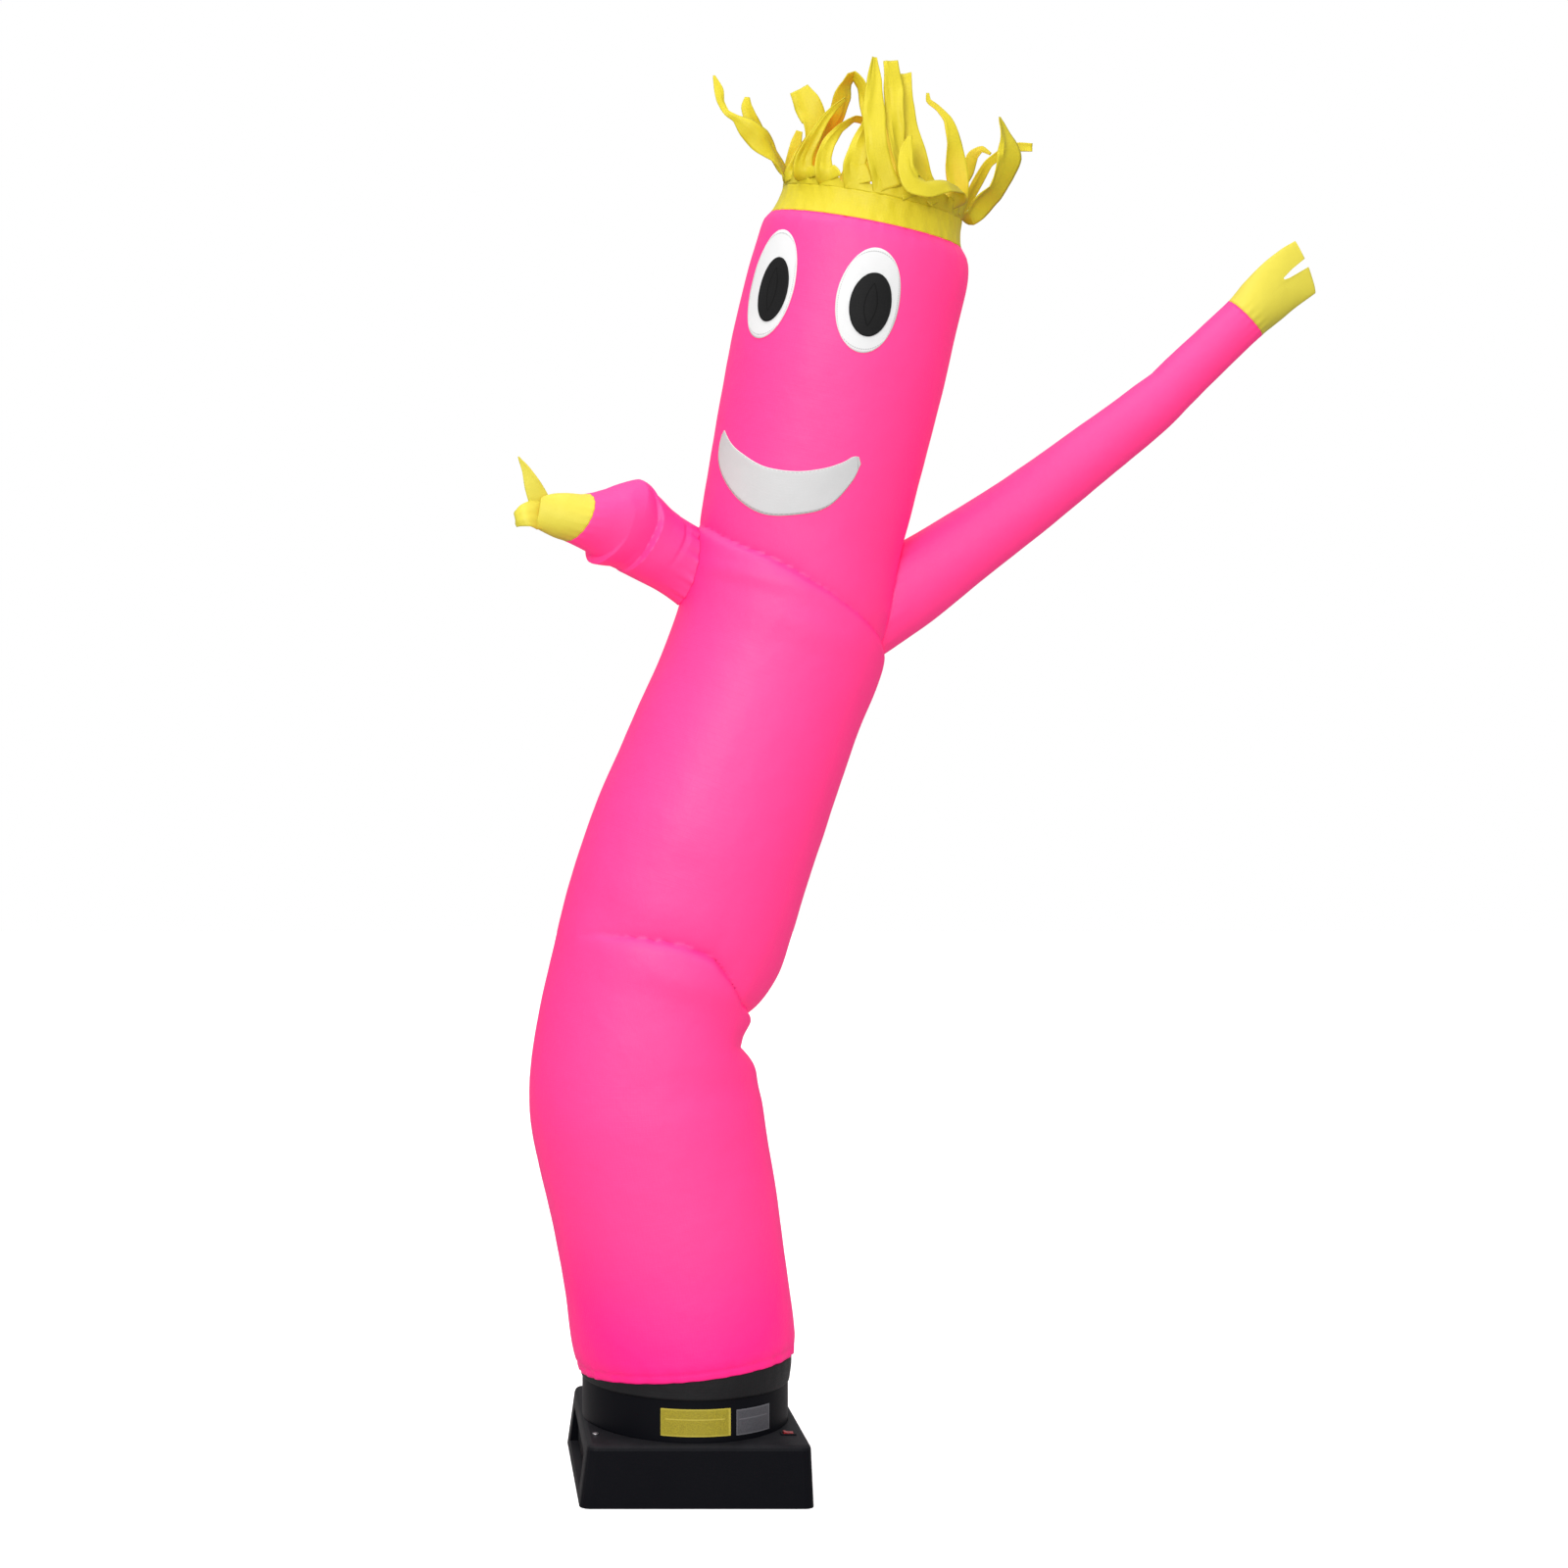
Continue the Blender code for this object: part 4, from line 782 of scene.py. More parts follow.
def plastic_group():
    """Moulded plastic: spark texture, faint flow marks, and dust that settles on faces that look up, which
    also stands for a painted highlight there.
    """

    def fill(tree, given):
        place = coordinate(tree)
        cloud = speckle(place, 22.0, 6.0)
        upward = larger(axes(node(tree, "ShaderNodeNewGeometry").outputs["Normal"])["Z"], 0.0)
        # Dust and painted highlight: faces that look up turn grey and rougher.
        dust_and_highlight_share = multiply(multiply(upward, cloud), given["Dust"], clamp=True)
        rough = add(given["Roughness"], multiply(cloud, 0.14))
        return {
            "Colour": mixed(dust_and_highlight_share, given["Colour"], DUST_AND_HIGHLIGHT_GREY),
            "Roughness": add(rough, multiply(dust_and_highlight_share, 0.5), clamp=True),
            "Height": speckle(place, given["Grain size"], 2.0),
        }

    inputs = {"Colour": (0.02, 0.02, 0.02, 1), "Grain size": 900.0, "Dust": 0.3, "Roughness": 0.4}
    return group("Moulded plastic", inputs, fill)


def seam_group():
    """A row of stitches a little inside the edge of a patch, from the patch's own flat metres."""

    def fill(tree, given):
        flat = flat_axes(tree)
        across = divide(size_of(flat["X"]), given["Width"])
        up = divide(size_of(flat["Y"]), given["Length"])
        line = is_less(size_of(subtract(larger(across, up), 0.466)), 0.0055)
        run = mixed(is_more(across, up), flat["X"], flat["Y"], "FLOAT")
        return {"Line": multiply(line, is_less(fraction(divide(run, given["Stitch"])), 0.68))}

    return group("Patch seam", {"Width": 0.1, "Length": 0.1, "Stitch": 0.0042}, fill)


def lens_group():
    """A seam in the shape of an upright lens, in the middle of a patch."""

    def fill(tree, given):
        flat = flat_axes(tree)
        up = power(size_of(divide(flat["Y"], given["Half height"])), 2.0)
        edge = multiply(subtract(1.0, up), given["Half width"])
        off = size_of(subtract(size_of(flat["X"]), edge))
        return {"Line": multiply(is_less(off, LENS_LINE), is_less(up, 1.0))}

    return group("Lens seam", {"Half width": 0.008, "Half height": 0.03}, fill)


def new_material(name):
    material = bpy.data.materials.new(name)
    material.use_nodes = True
    return material, material.node_tree.nodes["Principled BSDF"]


def feed(shader, effect, inputs, bump_distance, strength=1.0):
    """Places a group in a material and links its colour, roughness and height."""
    placed = node(shader.id_data, "ShaderNodeGroup", inputs, node_tree=effect).outputs
    relief = {"Strength": strength, "Distance": bump_distance, "Height": placed["Height"]}
    bump = node(shader.id_data, "ShaderNodeBump", relief)
    parts = {"Base Color": placed["Colour"], "Roughness": placed["Roughness"], "Normal": bump.outputs[0]}
    set_inputs(shader, parts)
    return placed, bump


def painted_shade_share(tree, hem):
    """How much painted shade the cloth gets: more where it turns away from the view, and all of it at the
    hem, between two heights.
    """
    share = power(node(tree, "ShaderNodeLayerWeight").outputs["Facing"], 1.3, clamp=True)
    if not hem:
        return share
    given = {"Value": axes(coordinate(tree))["Z"], "From Min": hem[0], "From Max": hem[1]}
    given.update({"To Min": 1.0, "To Max": 0.0})
    low = node(tree, "ShaderNodeMapRange", given, interpolation_type="SMOOTHSTEP")
    return add(share, low.outputs[0], clamp=True)


def nylon(
    name, colour, glow=0.0, crumples=0.5, unevenness=0.05, deep=None, hem=None, seam=None, lens=None,
    gloss=0.35,
):
    """A material of dyed nylon. glow is painted light: the cloth emits a faint light of its own colour,
    which stands in for light that comes through the thin cloth.

    deep is a painted shade, the colour mixed in where the cloth turns away from the view, and hem the
    heights where that painted shade fades out over the hem. seam is the size of a patch that has stitches,
    and lens the half-size of a lens seam.
    """
    material, shader = new_material(name)
    tree = shader.id_data
    # Painted shade: the deep colour is mixed in where the cloth turns away from the view and over the hem.
    cloth = mixed(painted_shade_share(tree, hem), colour, deep) if deep else colour
    inputs = {"Colour": cloth, "Crumples": crumples, "Unevenness": unevenness}
    placed, bump = feed(shader, nylon_group(), inputs, NYLON_BUMP, 0.5)

    def sew(effect, size, tone, share, depth):
        row = node(tree, "ShaderNodeGroup", enumerate(size), node_tree=effect).outputs["Line"]
        thread = mixed(multiply(row, share), placed["Colour"], (tone, tone, tone))
        connect(shader.inputs["Base Color"], thread)
        connect(bump.inputs["Height"], subtract(placed["Height"], multiply(row, depth)))

    if seam:
        sew(seam_group(), seam, 0.10, 0.45, 0.25)
    if lens:
        sew(lens_group(), lens, 0.0008, 0.8, 0.9)
    shader.inputs["Specular IOR Level"].default_value = gloss
    # Painted light: the cloth glows faintly in its own colour.
    if glow:
        set_inputs(shader, {"Emission Color": placed["Colour"], "Emission Strength": glow})
    return material


def moulded(name, colour, roughness=0.38, dust=0.25, bump=0.00025, gloss=0.5, metallic=0.0):
    """A material of moulded plastic, or of plated steel where metallic is 1."""
    material, shader = new_material(name)
    set_inputs(shader, {"Specular IOR Level": gloss, "Metallic": metallic})
    feed(shader, plastic_group(), {"Colour": colour, "Roughness": roughness, "Dust": dust}, bump)
    return material


def label_material(name, colour, left, right, bottom, top):
    """A blank film label with mottled colour, a paler line round its edge and one across it."""
    material, shader = new_material(name)
    place = coordinate(shader.id_data)
    where = axes(place)
    up = divide(subtract(where["Z"], bottom), top - bottom)
    off_x = size_of(subtract(divide(subtract(where["X"], left), right - left), 0.5))
    off_z = size_of(subtract(up, 0.5))
    inside = multiply(is_less(off_x, 0.475), is_less(off_z, 0.455))
    line = multiply(is_less(size_of(subtract(up, 0.62)), 0.022), is_less(off_x, 0.42))
    dark, light, paler = ([min(1.0, c * gain + more) for c in colour] for gain, more in LABEL_TONES)
    mottled = mixed(speckle(place, 620.0, 3.0), dark, light)
    edged = mixed(multiply(larger(subtract(1.0, inside), line), 0.55), mottled, paler)
    feed(shader, plastic_group(), {"Colour": edged, "Roughness": 0.35, "Dust": 0.05}, 0.00005)
    return material


def dress(name, material):
    """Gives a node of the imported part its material."""
    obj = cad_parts[name]
    for slot in obj.material_slots:
        slot.material = material


def colours():
    return bpy.context.scene.dancer_colours


def sizes():
    return bpy.context.scene.dancer_sizes


def pink_nylon(name, hem=None):
    # The pink gets a painted shade where it turns away and over the hem, and a faint glow of painted light.
    return nylon(name, colours().pink, glow=0.30, crumples=0.7, deep=colours().deep_pink, hem=hem)


# Pieces


class DANCER_OT_body(bpy.types.Operator):
    """The blown-up tube, with its folds at the waist and the shoulders and its gathered hem"""

    bl_idname = "dancer.body"
    bl_label = "Body"

    def execute(self, context):
        heights = ring_heights()
        wrinkle = sizes().wrinkle
        length = heights[-1] - heights[0] + BODY_SLACK

        def point(turn, row):
            return body_point(turn, heights[row], 0.0, wrinkle)

        bm = rolled_sheet(BODY_SIDES, len(heights), point, 1.02, length)
        pink = pink_nylon("pink nylon", hem=HEM_PAINTED_SHADE)
        body = add_piece("body_cloth", bm, pink, ["body_tube"])
        thicken(body, sizes().cloth)
        return {"FINISHED"}


def arm_start(rows, along, turn, low, high):
    """How far along a limb its cloth comes out of the body, at a turn."""
    for _ in range(24):
        middle = (low + high) / 2
        if body_clearance(limb_point(rows, along, turn, middle)[0]) > 0.0004:
            high = middle
        else:
            low = middle
    return high


def build_arm(name, arm, hand, wrist_skew, creases, pucker, replaces, flat):
    """A tapered sleeve from its seam on the body to its seam at the wrist."""
    rows = arm + hand
    along = limb_stations(rows)
    wrist = limb_stations(arm)[-1]
    starts = {}

    def point(turn, row):
        key = round(turn, 3)
        if key not in starts:
            starts[key] = arm_start(rows, along, turn, 0.0, wrist * 0.7)
        end = wrist - wrist_skew * sin(radians(turn))
        at = starts[key] + (end - starts[key]) * row / (ARM_RINGS - 1)
        near = at - starts[key]
        angle = radians(turn)
        lift = pucker * exp(-near / 0.020) * (sin(angle * 13 + 1) + 0.7 * sin(angle * 23))
        lift += WRIST_PUCKER * exp(-(end - at) / 0.010) * sin(angle * 19)
        for line, before, after, height, mid_turn, spread in creases:
            past = at - straight_between(line, abs(turn))[0]
            off = turn_from(turn, mid_turn)
            slope = max(0.0, 1 - abs(past) / (after if past > 0 else before))
            lift += height * slope * exp(-((off / spread) ** 2))
        place, outward = limb_point(rows, along, turn, at, lift)
        fade = min(1.0, near / 0.02) * min(1.0, (end - at) / 0.02)
        return place + outward * soft_wrinkles(place, ARM_WRINKLE) * fade

    bm = rolled_sheet(LIMB_SIDES, ARM_RINGS, point, flat[0], flat[1])
    pink = pink_nylon(f"pink nylon of the {replaces}")
    sleeve = add_piece(name, bm, pink, [replaces])
    thicken(sleeve, sizes().cloth)


class DANCER_OT_arms(bpy.types.Operator):
    """The long raised right arm and the short bent left arm"""

    bl_idname = "dancer.arms"
    bl_label = "Arms"

    def execute(self, context):
        build_arm("right_sleeve", *RIGHT_LIMB, RIGHT_CREASES, RIGHT_PUCKER, "right_arm", (0.31, 0.62))
        build_arm("left_sleeve", *LEFT_LIMB, LEFT_CREASES, LEFT_PUCKER, "left_arm", (0.36, 0.20))
        return {"FINISHED"}


def build_hand(name, arm, hand, wrist_skew, end_of, replaces, flat, extra=()):
    """A sleeve end, round at the wrist and flat at its cut edge, which end_of(turn, reach) places."""
    rows = arm + hand
    along = limb_stations(rows)
    wrist = limb_stations(arm)[-1]

    def point(turn, row):
        share = row / (HAND_RINGS - 1)
        angle = radians(turn)
        skew = wrist_skew * sin(angle) * (1 - share)
        at = wrist + 0.0004 - skew + end_of(turn, along[-1] - wrist) * share
        lift = HAND_PUCKER * exp(-max(0.0, at - wrist) / 0.010) * sin(angle * 19)
        place, outward = limb_point(rows, along, turn, at, lift)
        return place + outward * soft_wrinkles(place * 1.7, HAND_WRINKLE) * min(1.0, share * 6)

    parts = [rolled_sheet(LIMB_SIDES, HAND_RINGS, point, flat[0], flat[1]), *extra]
    # Painted light: the hands glow faintly.
    material = nylon(f"pale yellow nylon of the {replaces}", colours().pale_yellow, glow=0.08, crumples=0.7)
    piece = add_piece(name, joined(parts), material, [replaces])
    thicken(piece, HAND_CLOTH)


def ribbon_sheet(origin, rows, along=48, root=None):
    """A cut strip of cloth along a route, from a root's place, width direction and width."""
    places = [origin + Vector(row[:3]) / 1000 for row in rows]
    widths = [row[3] / 1000 for row in rows]
    headings = [(b - a).normalized() for a, b in zip(places, places[1:])]
    headings.append(headings[-1])
    sides = []
    for heading, row in zip(headings, rows):
        flat = heading.cross(Vector((0, 1, 0)))
        flat = flat.normalized() if flat.length > 0.2 else Vector((1, 0, 0))
        sides.append(Matrix.Rotation(radians(row[4]), 3, heading) @ flat)
    if root:
        start, side, width = root
        places, widths, sides = [start, *places], [width, *widths], [side, *sides]
    for i in range(1, len(sides)):
        if sides[i].dot(sides[i - 1]) < 0:
            sides[i] = -sides[i]
    keys = [0.0]
    for a, b in zip(places, places[1:]):
        keys.append(keys[-1] + max(1e-4, (b - a).length))
    table = [(*place, width, *side) for place, width, side in zip(places, widths, sides)]
    total = keys[-1]
    straight = [(key, *row) for key, row in zip(keys, table)]
    seed = places[-1].x * 70 + places[-1].z * 40

    def route(at):
        pairs = zip(smooth_between(keys, table, at), straight_between(straight, at))
        return [RIBBON_SMOOTH * curved + (1 - RIBBON_SMOOTH) * bent for curved, bent in pairs]

    def route_place(at):
        return Vector(route(min(max(at, 0.0), total))[:3])

    def point(a, b):
        at = (b + 1) / 2 * total
        x, y, z, width, *side = route(at)
        heading = (route_place(at + 0.002) - route_place(at - 0.002)).normalized()
        side = Vector(side)
        side = (side - side.dot(heading) * heading).normalized()
        normal = heading.cross(side)
        free = min(1.0, at / 0.03)
        fold = 0.35 * sin(at * 21 + seed)
        bend = (0.7 + 0.6 * sin(at * 34 + seed * 2)) * (1 - abs(a - fold) / (1 + abs(fold)))
        bend += 0.4 * max(0.0, 1 - abs(a + 0.55 - fold * 0.5) * 3.5) * sin(at * 58 + seed)
        bend *= RIBBON_CUP * width * free
        sway = radians(RIBBON_SWAY) * sin(at * 52 + seed * 3) * free
        across = side * cos(sway) + normal * sin(sway)
        upward = normal * cos(sway) - side * sin(sway)
        width *= 1 + 0.05 * sin(at * 95 + seed) * free
        frill = 0.0006 * abs(a) ** 3 * sin(at * 150 + a * 2 + seed)
        return Vector((x, y, z)) + across * a * width / 2 + upward * (bend + frill)

    return laid_sheet(10, along, point, lambda b: route((b + 1) / 2 * total)[3], total)


class DANCER_OT_hands(bpy.types.Operator):
    """The yellow hands, whose cloth is cut into fingers"""

    bl_idname = "dancer.hands"
    bl_label = "Hands"

    def execute(self, context):
        def right_end(turn, reach):
            across = cos(radians(turn))
            slit = exp(-(((across - 0.09) / 0.115) ** 6))
            round_off = 0.02 * across**6
            return reach * (1.0 + 0.035 * across - round_off - 0.37 * slit)

        build_hand("right_mitten", *RIGHT_LIMB, right_end, "right_hand", (0.22, 0.12))

        def left_end(turn, reach):
            return reach * (1.0 - 0.50 * max(0.0, cos(radians(turn + 38))) ** 1.4)

        end = Vector(LEFT_HAND[-1][:3])
        fingers = [ribbon_sheet(end, rows, along=24) for rows in FINGERS]
        build_hand("left_mitten", *LEFT_LIMB, left_end, "left_hand", (0.22, 0.07), fingers)
        return {"FINISHED"}


def band_point(turn, height, lift):
    """A point on the hair band, or on the cloth that goes on above it."""
    middle, up, right, back, radius = body_section(BODY_HEIGHTS[-1])
    share = min(1.0, height / BAND_HEIGHT)
    radius += (BAND_TOP_RADIUS - radius) * share * (2 - share) + lift
    angle = radians(turn)
    outward = outward_at(turn, right, back)
    gathers = sin(angle * 31) + 0.6 * sin(angle * 53 + 1)
    radius += 0.0006 * gathers * exp(-height / 0.010)
    radius += soft_wrinkles(outward * 0.4 + up * height * 3, BAND_WRINKLE) * share
    return middle + up * height + radius * outward


def skirt_point(turn, share):
    """A point of the cloth over the band, whose upper edge is cut unevenly between the ribbons."""
    angle = radians(turn)
    uneven = 0.5 + 0.3 * sin(angle * 10 + 1) + 0.2 * sin(angle * 23 + 2)
    slit = exp(-(((turn + SKIRT_SLIT) / 9) ** 2)) + 0.5 * exp(-(((turn - 44) / 5) ** 2))
    over = (STRIP_HEIGHT + SKIRT_RISE * uneven * max(0.0, 1 - slit)) * share
    crumple = SKIRT_CRUMPLE * sin(angle * 24 + 3 * sin(angle * 7)) * share
    return band_point(turn, BAND_HEIGHT + 0.00002 + over, -BAND_INSET + crumple - SKIRT_LEAN * over * share)


class DANCER_OT_hair(bpy.types.Operator):
    """The yellow band on the head and the ribbons that it is cut into"""

    bl_idname = "dancer.hair"
    bl_label = "Hair"

    def execute(self, context):
        def band_cloth_point(turn, row):
            share = row / (BAND_ROWS - 1)
            angle = radians(turn)
            creases = sin(29 * angle + 2.0 * sin(3 * angle)) + 0.6 * sin(53 * angle + 8 * share)
            height = BAND_START + (BAND_HEIGHT - BAND_START) * share
            return band_point(turn, height, BAND_CREASE * creases * share * (1 - 0.4 * share))

        bm = rolled_sheet(240, BAND_ROWS, band_cloth_point, 0.83, 0.04)
        # Painted light: the band glows faintly.
        bright = nylon("yellow nylon of the band", colours().yellow, 0.09, crumples=1.4, unevenness=0.10)
        band = add_piece("band_cloth", bm, bright, ["hair_band"])
        thicken(band, sizes().cloth)
        self.ribbons()
        return {"FINISHED"}

    def ribbons(self):
        def skirt(turn, row):
            return skirt_point(turn, row / (SKIRT_ROWS - 1))

        parts = [rolled_sheet(180, SKIRT_ROWS, skirt, 0.82, STRIP_HEIGHT + 0.012)]
        middle, up, right, back, _ = body_section(BODY_HEIGHTS[-1])
        strip = middle + up * (BAND_HEIGHT + STRIP_HEIGHT)
        for place, route in RIBBONS.items():
            turn = place * 360 / RIBBON_PLACES
            angle = radians(turn)
            tangent = cos(angle) * right + sin(angle) * back
            start = band_point(turn, BAND_HEIGHT + STRIP_HEIGHT - 0.0005, -BAND_INSET)
            parts.append(ribbon_sheet(strip, route, root=(start, tangent, RIBBON_ROOT)))
        tints = colours()
        # The ribbons get a painted olive shade where they turn away, and a faint glow of painted light.
        yellow = nylon("yellow nylon", tints.yellow, 0.08, crumples=1.0, unevenness=0.10, deep=tints.painted_shade_olive)
        ribbons = add_piece("hair_ribbons", joined(parts), yellow, ["hair_streamers"], 28)
        thicken(ribbons, RIBBON_CLOTH, offset=0.0)


def patch_point(turn, z, across, up, lift):
    """A point of a patch on the head: across and up are metres from the patch's middle."""
    return body_point(turn + degrees(across / body_section(z)[4]), z + up * 0.96, lift)


def round_patch(name, oval, material, replaces):
    """An oval patch on the head. oval is its turn, height, half-width, half-height, tilt and lift."""
    turn, z, half_width, half_height, tilt, lift = oval
    tilt = radians(tilt)

    def point(a, b):
        across = a * sqrt(1 - b * b / 2) * half_width
        up = b * sqrt(1 - a * a / 2) * half_height
        right = across * cos(tilt) + up * sin(tilt)
        return patch_point(turn, z, right, up * cos(tilt) - across * sin(tilt), lift)

    flat = (2 * half_width, 2 * half_height)
    bm = laid_sheet(28, 40, point, lambda b: flat[0], flat[1])
    face_outward(bm, body_section(z)[0])
    patch = add_piece(name, bm, material, [replaces])
    thicken(patch, sizes().patch, offset=1.0)


class DANCER_OT_face(bpy.types.Operator):
    """The sewn-on eyes, pupils and mouth"""

    bl_idname = "dancer.face"
    bl_label = "Face"

    def execute(self, context):
        lay, patch = sizes().lay, sizes().patch
        for name, turn, z, half_width, half_height, tilt, *pupil in EYES:
            seam = (2 * half_width, 2 * half_height)
            # Painted light: the eye whites glow faintly.
            white = nylon(f"white nylon of the {name} eye", colours().white, 0.05, 0.3, 0.03, seam=seam)
            lens = (0.30 * pupil[2], 0.68 * pupil[3])
            black = f"black nylon of the {name} pupil"
            black = nylon(black, colours().black, crumples=0.4, unevenness=0.3, lens=lens, gloss=0.14)
            oval = (turn, z, half_width, half_height, tilt, lay)
            round_patch(f"eye_white_{name}", oval, white, f"eye_{name}")
            oval = (*pupil, tilt, lay + patch + lay)
            round_patch(f"eye_black_{name}", oval, black, f"pupil_{name}")
        self.mouth(lay, patch)
        return {"FINISHED"}

    def mouth(self, lay, patch):
        keys = [i / (len(MOUTH_UPPER) - 1) for i in range(len(MOUTH_UPPER))]

        def point(a, b):
            upper = smooth_between(keys, MOUTH_UPPER, (a + 1) / 2)
            lower = smooth_between(keys, MOUTH_LOWER, (a + 1) / 2)
            share = (b + 1) / 2
            turn, z = (low + (high - low) * share for low, high in zip(lower, upper))
            return body_point(turn, z, lay)

        bm = laid_sheet(72, 14, point, lambda b: MOUTH_SPAN, MOUTH_DEPTH)
        face_outward(bm, body_section(MOUTH_UPPER[4][1])[0])
        seam = (MOUTH_SPAN, MOUTH_DEPTH)
        # Painted light: the mouth glows faintly.
        grey = nylon("grey white nylon", colours().grey_white, 0.05, unevenness=0.06, seam=seam)
        mouth = add_piece("smile", bm, grey, ["mouth"])
        thicken(mouth, patch, offset=1.0)


class DANCER_OT_cuff(bpy.types.Operator):
    """The black cuff that shows between the hem and the blower's outlet"""

    bl_idname = "dancer.cuff"
    bl_label = "Cuff"

    def execute(self, context):
        heights = [row[1] for row in CUFF]
        table = [(row[0], row[2]) for row in CUFF]

        def point(turn, row):
            z = heights[0] + (heights[-1] - heights[0]) * row / (CUFF_ROWS - 1)
            x, radius = smooth_between(heights, table, z)
            angle = radians(turn)
            radius += 0.0004 * sin(angle * 37) * row / CUFF_ROWS
            return Vector((x + radius * sin(angle), -radius * cos(angle), z))

        bm = rolled_sheet(144, CUFF_ROWS, point, 0.98, 0.037)
        black = nylon("black cuff cloth", colours().cuff, crumples=0.8, unevenness=0.3)
        cuff = add_piece("cuff_cloth", bm, black, ["cuff"])
        thicken(cuff, CUFF_CLOTH)
        return {"FINISHED"}


class DANCER_OT_blower(bpy.types.Operator):
    """The black moulded blower, its labels, switch, screws and grille"""

    bl_idname = "dancer.blower"
    bl_label = "Blower"

    def execute(self, context):
        plastic = colours().plastic
        # The grey on faces that look up is partly dust and partly a painted highlight.
        black = moulded("black moulded plastic", plastic, roughness=0.36, dust=0.16, gloss=0.06)
        smooth = moulded("black outlet plastic", plastic, 0.34, dust=0.1, bump=0.0001, gloss=0.08)
        for name in ("blower_base", "intake_grille", "switch_rim"):
            dress(name, black)
        self.outlet(smooth)
        dress("cord_gland", moulded("black rubber", (0.012, 0.012, 0.012), 0.7, dust=0.3))
        dress("switch_rocker", moulded("red rocker plastic", colours().red, 0.18, dust=0.0, bump=0.00005))
        steel = moulded("plated screw steel", (0.62, 0.62, 0.64), 0.28, dust=0.3, bump=0.0001, metallic=1.0)
        for number in (1, 2, 3):
            dress(f"screw_{number}", steel)
        for tint in ("yellow", "grey"):
            colour = getattr(colours(), f"label_{tint}")
            dress(f"label_{tint}", label_material(f"{tint} label film", colour, *LABEL_EDGES[tint]))
        return {"FINISHED"}

    def outlet(self, material):
        """The round outlet, with a rounded lip."""
        low, high = OUTLET_HEIGHTS
        profile = [(0.0, low), (0.0, low + 0.0015)]
        profile += [(0.0, low + (high - low) * i / 24) for i in range(1, 24)]
        profile += [(0.0, high - 0.0012), (-0.0006, high - 0.0004), (-0.0014, high)]
        profile += [(-OUTLET_WALL + 0.0010, high), (-OUTLET_WALL, high - 0.0010)]
        profile += [(-OUTLET_WALL, high + (low - high) * i / 12) for i in range(1, 13)]

        def point(turn, row):
            off, z = profile[row]
            angle = radians(turn)
            return Vector(((OUTLET_RADIUS + off) * sin(angle), -(OUTLET_RADIUS + off) * cos(angle), z))

        bm = rolled_sheet(180, len(profile), point, 0.95, 0.26)
        rim = [edge for edge in bm.edges if edge.is_boundary]
        bmesh.ops.bridge_loops(bm, edges=rim)
        bmesh.ops.recalc_face_normals(bm, faces=bm.faces)
        add_piece("outlet_collar", bm, material, ["blower_collar"], smooth_angle=40)


def light_room(tree, light):
    """The studio round the object: white where the camera sees it, and lit from the front and above."""
    seen = tree.nodes["Background"]
    set_inputs(seen, {"Color": (1, 1, 1), "Strength": 1.0})
    direction = axes(coordinate(tree, "Generated"))
    front = multiply(larger(multiply(direction["Y"], -1.0), 0.0), ROOM_FRONT)
    top = multiply(larger(direction["Z"], 0.0), ROOM_TOP)
    strength = multiply(add(add(front, top), ROOM_ALL), light)
    room = node(tree, "ShaderNodeBackground", {"Strength": strength})
    camera_ray = node(tree, "ShaderNodeLightPath").outputs["Is Camera Ray"]
    both = node(tree, "ShaderNodeMixShader", {0: camera_ray, 1: room.outputs[0], 2: seen.outputs[0]})
    connect(tree.nodes["World Output"].inputs["Surface"], both.outputs[0])


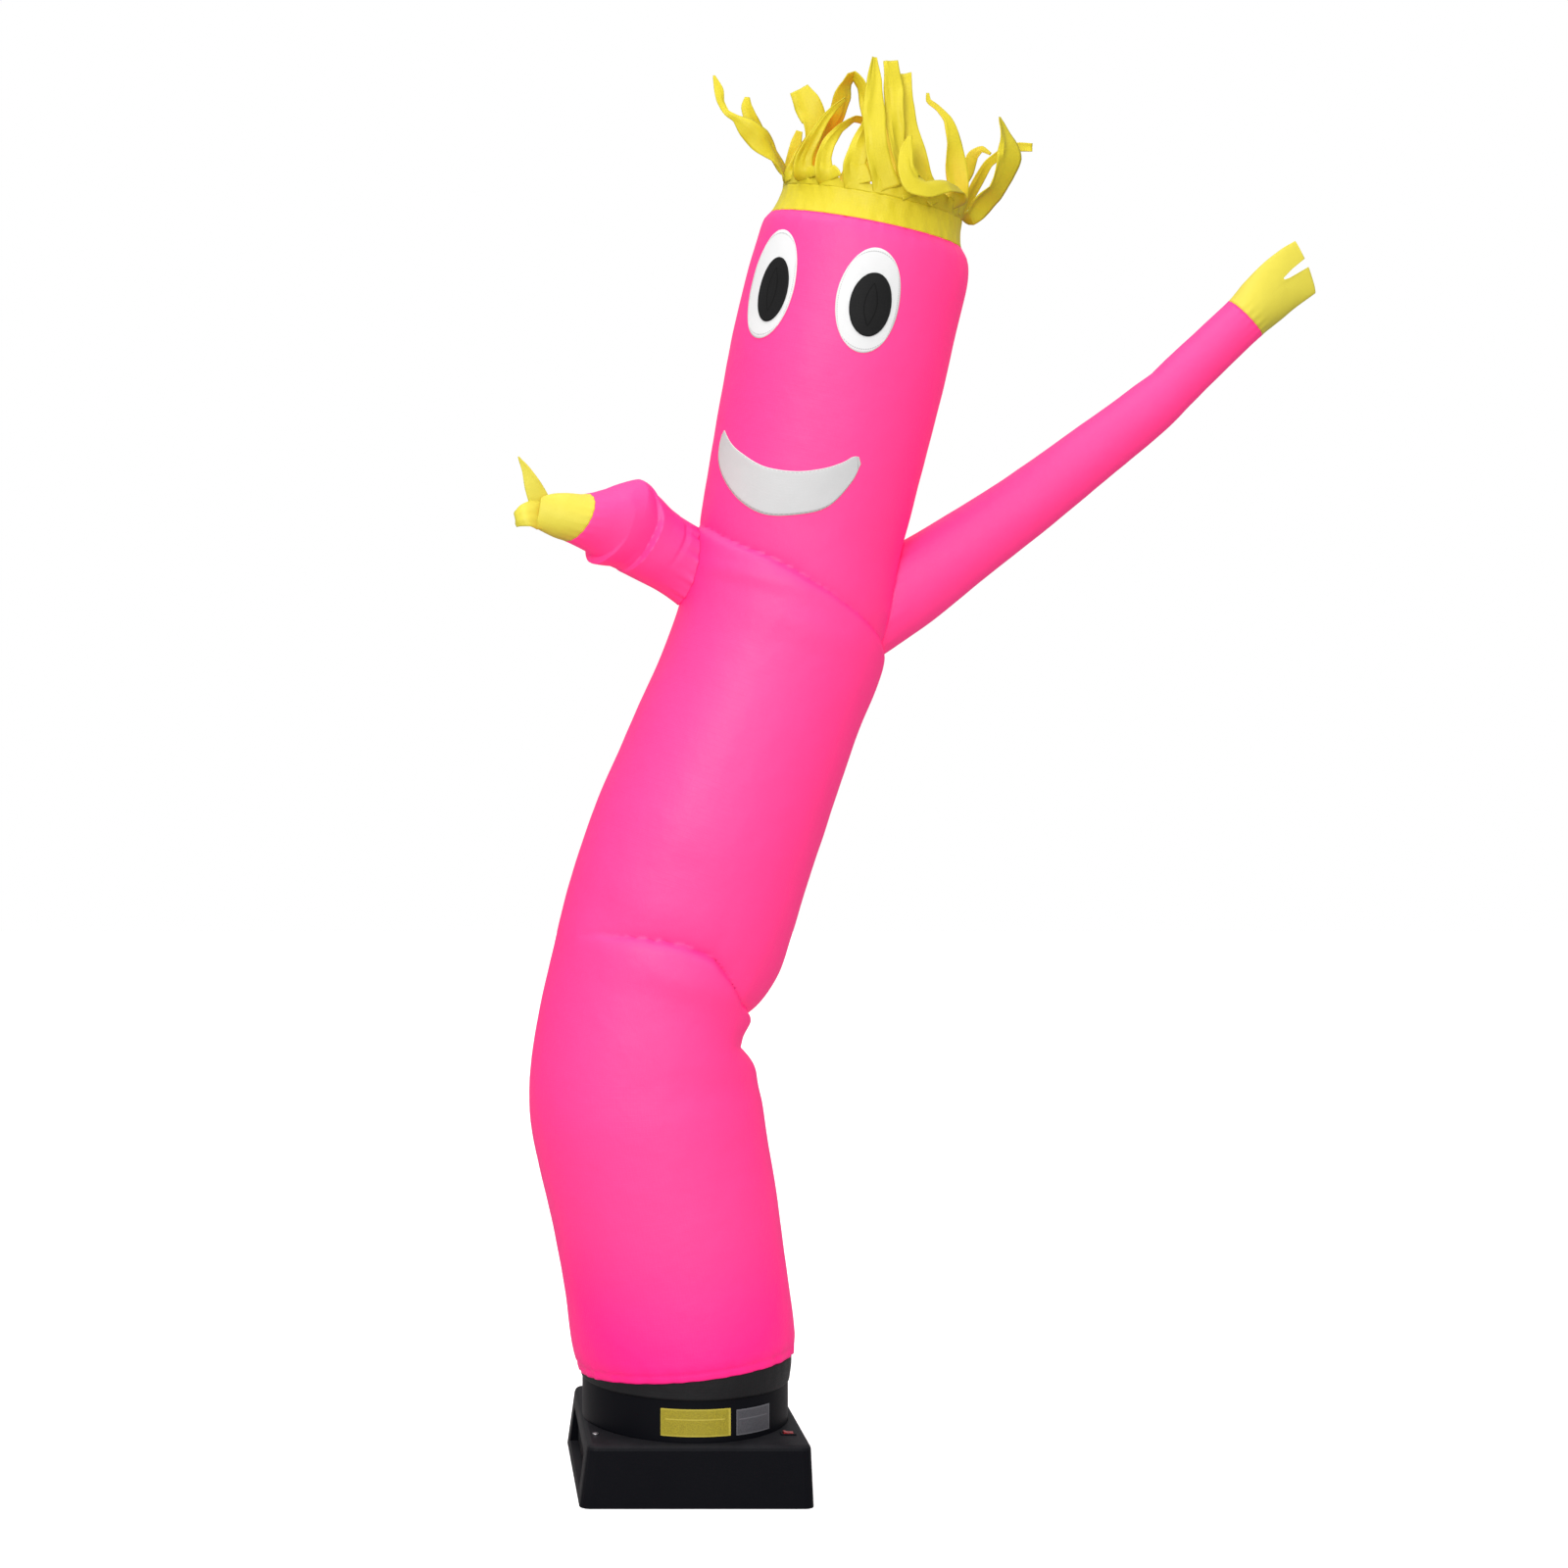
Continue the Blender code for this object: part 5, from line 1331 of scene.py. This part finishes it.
class DANCER_OT_stage(bpy.types.Operator):
    """The pale floor, the soft studio light and the camera"""

    bl_idname = "dancer.stage"
    bl_label = "Stage"

    def execute(self, context):
        scene = context.scene
        self.floor()
        scene.world = bpy.data.worlds.new("studio")
        scene.world.use_nodes = True
        light = sizes().light
        light_room(scene.world.node_tree, light)
        for name, place, target, size, watts in LAMPS:
            data = bpy.data.lights.new(name, "AREA")
            data.shape = "SQUARE"
            data.size = size
            data.energy = watts * light
            lamp = put_object(name, data, place)
            lamp.rotation_euler = (Vector(target) - Vector(place)).to_track_quat("-Z", "Y").to_euler()
        scene.camera = put_object("camera", bpy.data.cameras.new("camera"), CAMERA_PLACE)
        scene.camera.rotation_euler = (radians(90), 0, 0)
        for name, value in CAMERA_LENS.items():
            setattr(scene.camera.data, name, value)
        scene.view_settings.view_transform = "Standard"
        return {"FINISHED"}

    def floor(self):
        """A pale floor that the camera sees as nearly white."""
        bm = bmesh.new()
        bmesh.ops.create_grid(bm, x_segments=1, y_segments=1, size=FLOOR_SIZE)
        mesh = bpy.data.meshes.new("floor")
        bm.to_mesh(mesh)
        bm.free()
        floor = put_object("floor", mesh)
        pale, shader = new_material("pale floor")
        tree = shader.id_data
        grain = node(tree, "ShaderNodeTexNoise", {"Scale": 30.0}).outputs["Fac"]
        tone = node(tree, "ShaderNodeMapRange", {"Value": grain, "To Min": 0.93, "To Max": 0.95}).outputs[0]
        seen = node(tree, "ShaderNodeLightPath").outputs["Is Camera Ray"]
        set_inputs(
            shader,
            {
                "Base Color": multiply(tone, add(multiply(seen, 1 - FLOOR_UNSEEN), FLOOR_UNSEEN)),
                "Roughness": 0.9,
                "Specular IOR Level": 0.0,
                "Emission Color": (1, 1, 1),
                "Emission Strength": multiply(seen, FLOOR_GLOW),
            },
        )
        mesh.materials.append(pale)


class DANCER_PT_panel(bpy.types.Panel):
    """Sizes, colours and pieces of the dancer"""

    bl_idname = "DANCER_PT_panel"
    bl_label = "Tube dancer"
    bl_space_type = "VIEW_3D"
    bl_region_type = "UI"
    bl_category = "Dancer"

    def draw(self, context):
        for settings in (context.scene.dancer_sizes, context.scene.dancer_colours):
            column = self.layout.column()
            for name in settings.__annotations__:
                column.prop(settings, name)
        for operator in OPERATORS:
            self.layout.operator(operator.bl_idname)


OPERATORS = (
    DANCER_OT_stage,
    DANCER_OT_body,
    DANCER_OT_arms,
    DANCER_OT_hands,
    DANCER_OT_face,
    DANCER_OT_hair,
    DANCER_OT_cuff,
    DANCER_OT_blower,
)
CLASSES = (DancerSizes, DancerColours, *OPERATORS, DANCER_PT_panel)


def register():
    for cls in CLASSES:
        bpy.utils.register_class(cls)
    bpy.types.Scene.dancer_sizes = bpy.props.PointerProperty(type=DancerSizes)
    bpy.types.Scene.dancer_colours = bpy.props.PointerProperty(type=DancerColours)


def unregister():
    del bpy.types.Scene.dancer_colours
    del bpy.types.Scene.dancer_sizes
    for cls in reversed(CLASSES):
        bpy.utils.unregister_class(cls)


def main():
    register()
    for operator in OPERATORS:
        group, name = operator.bl_idname.split(".")
        getattr(getattr(bpy.ops, group), name)()


if __name__ == "__main__":
    main()
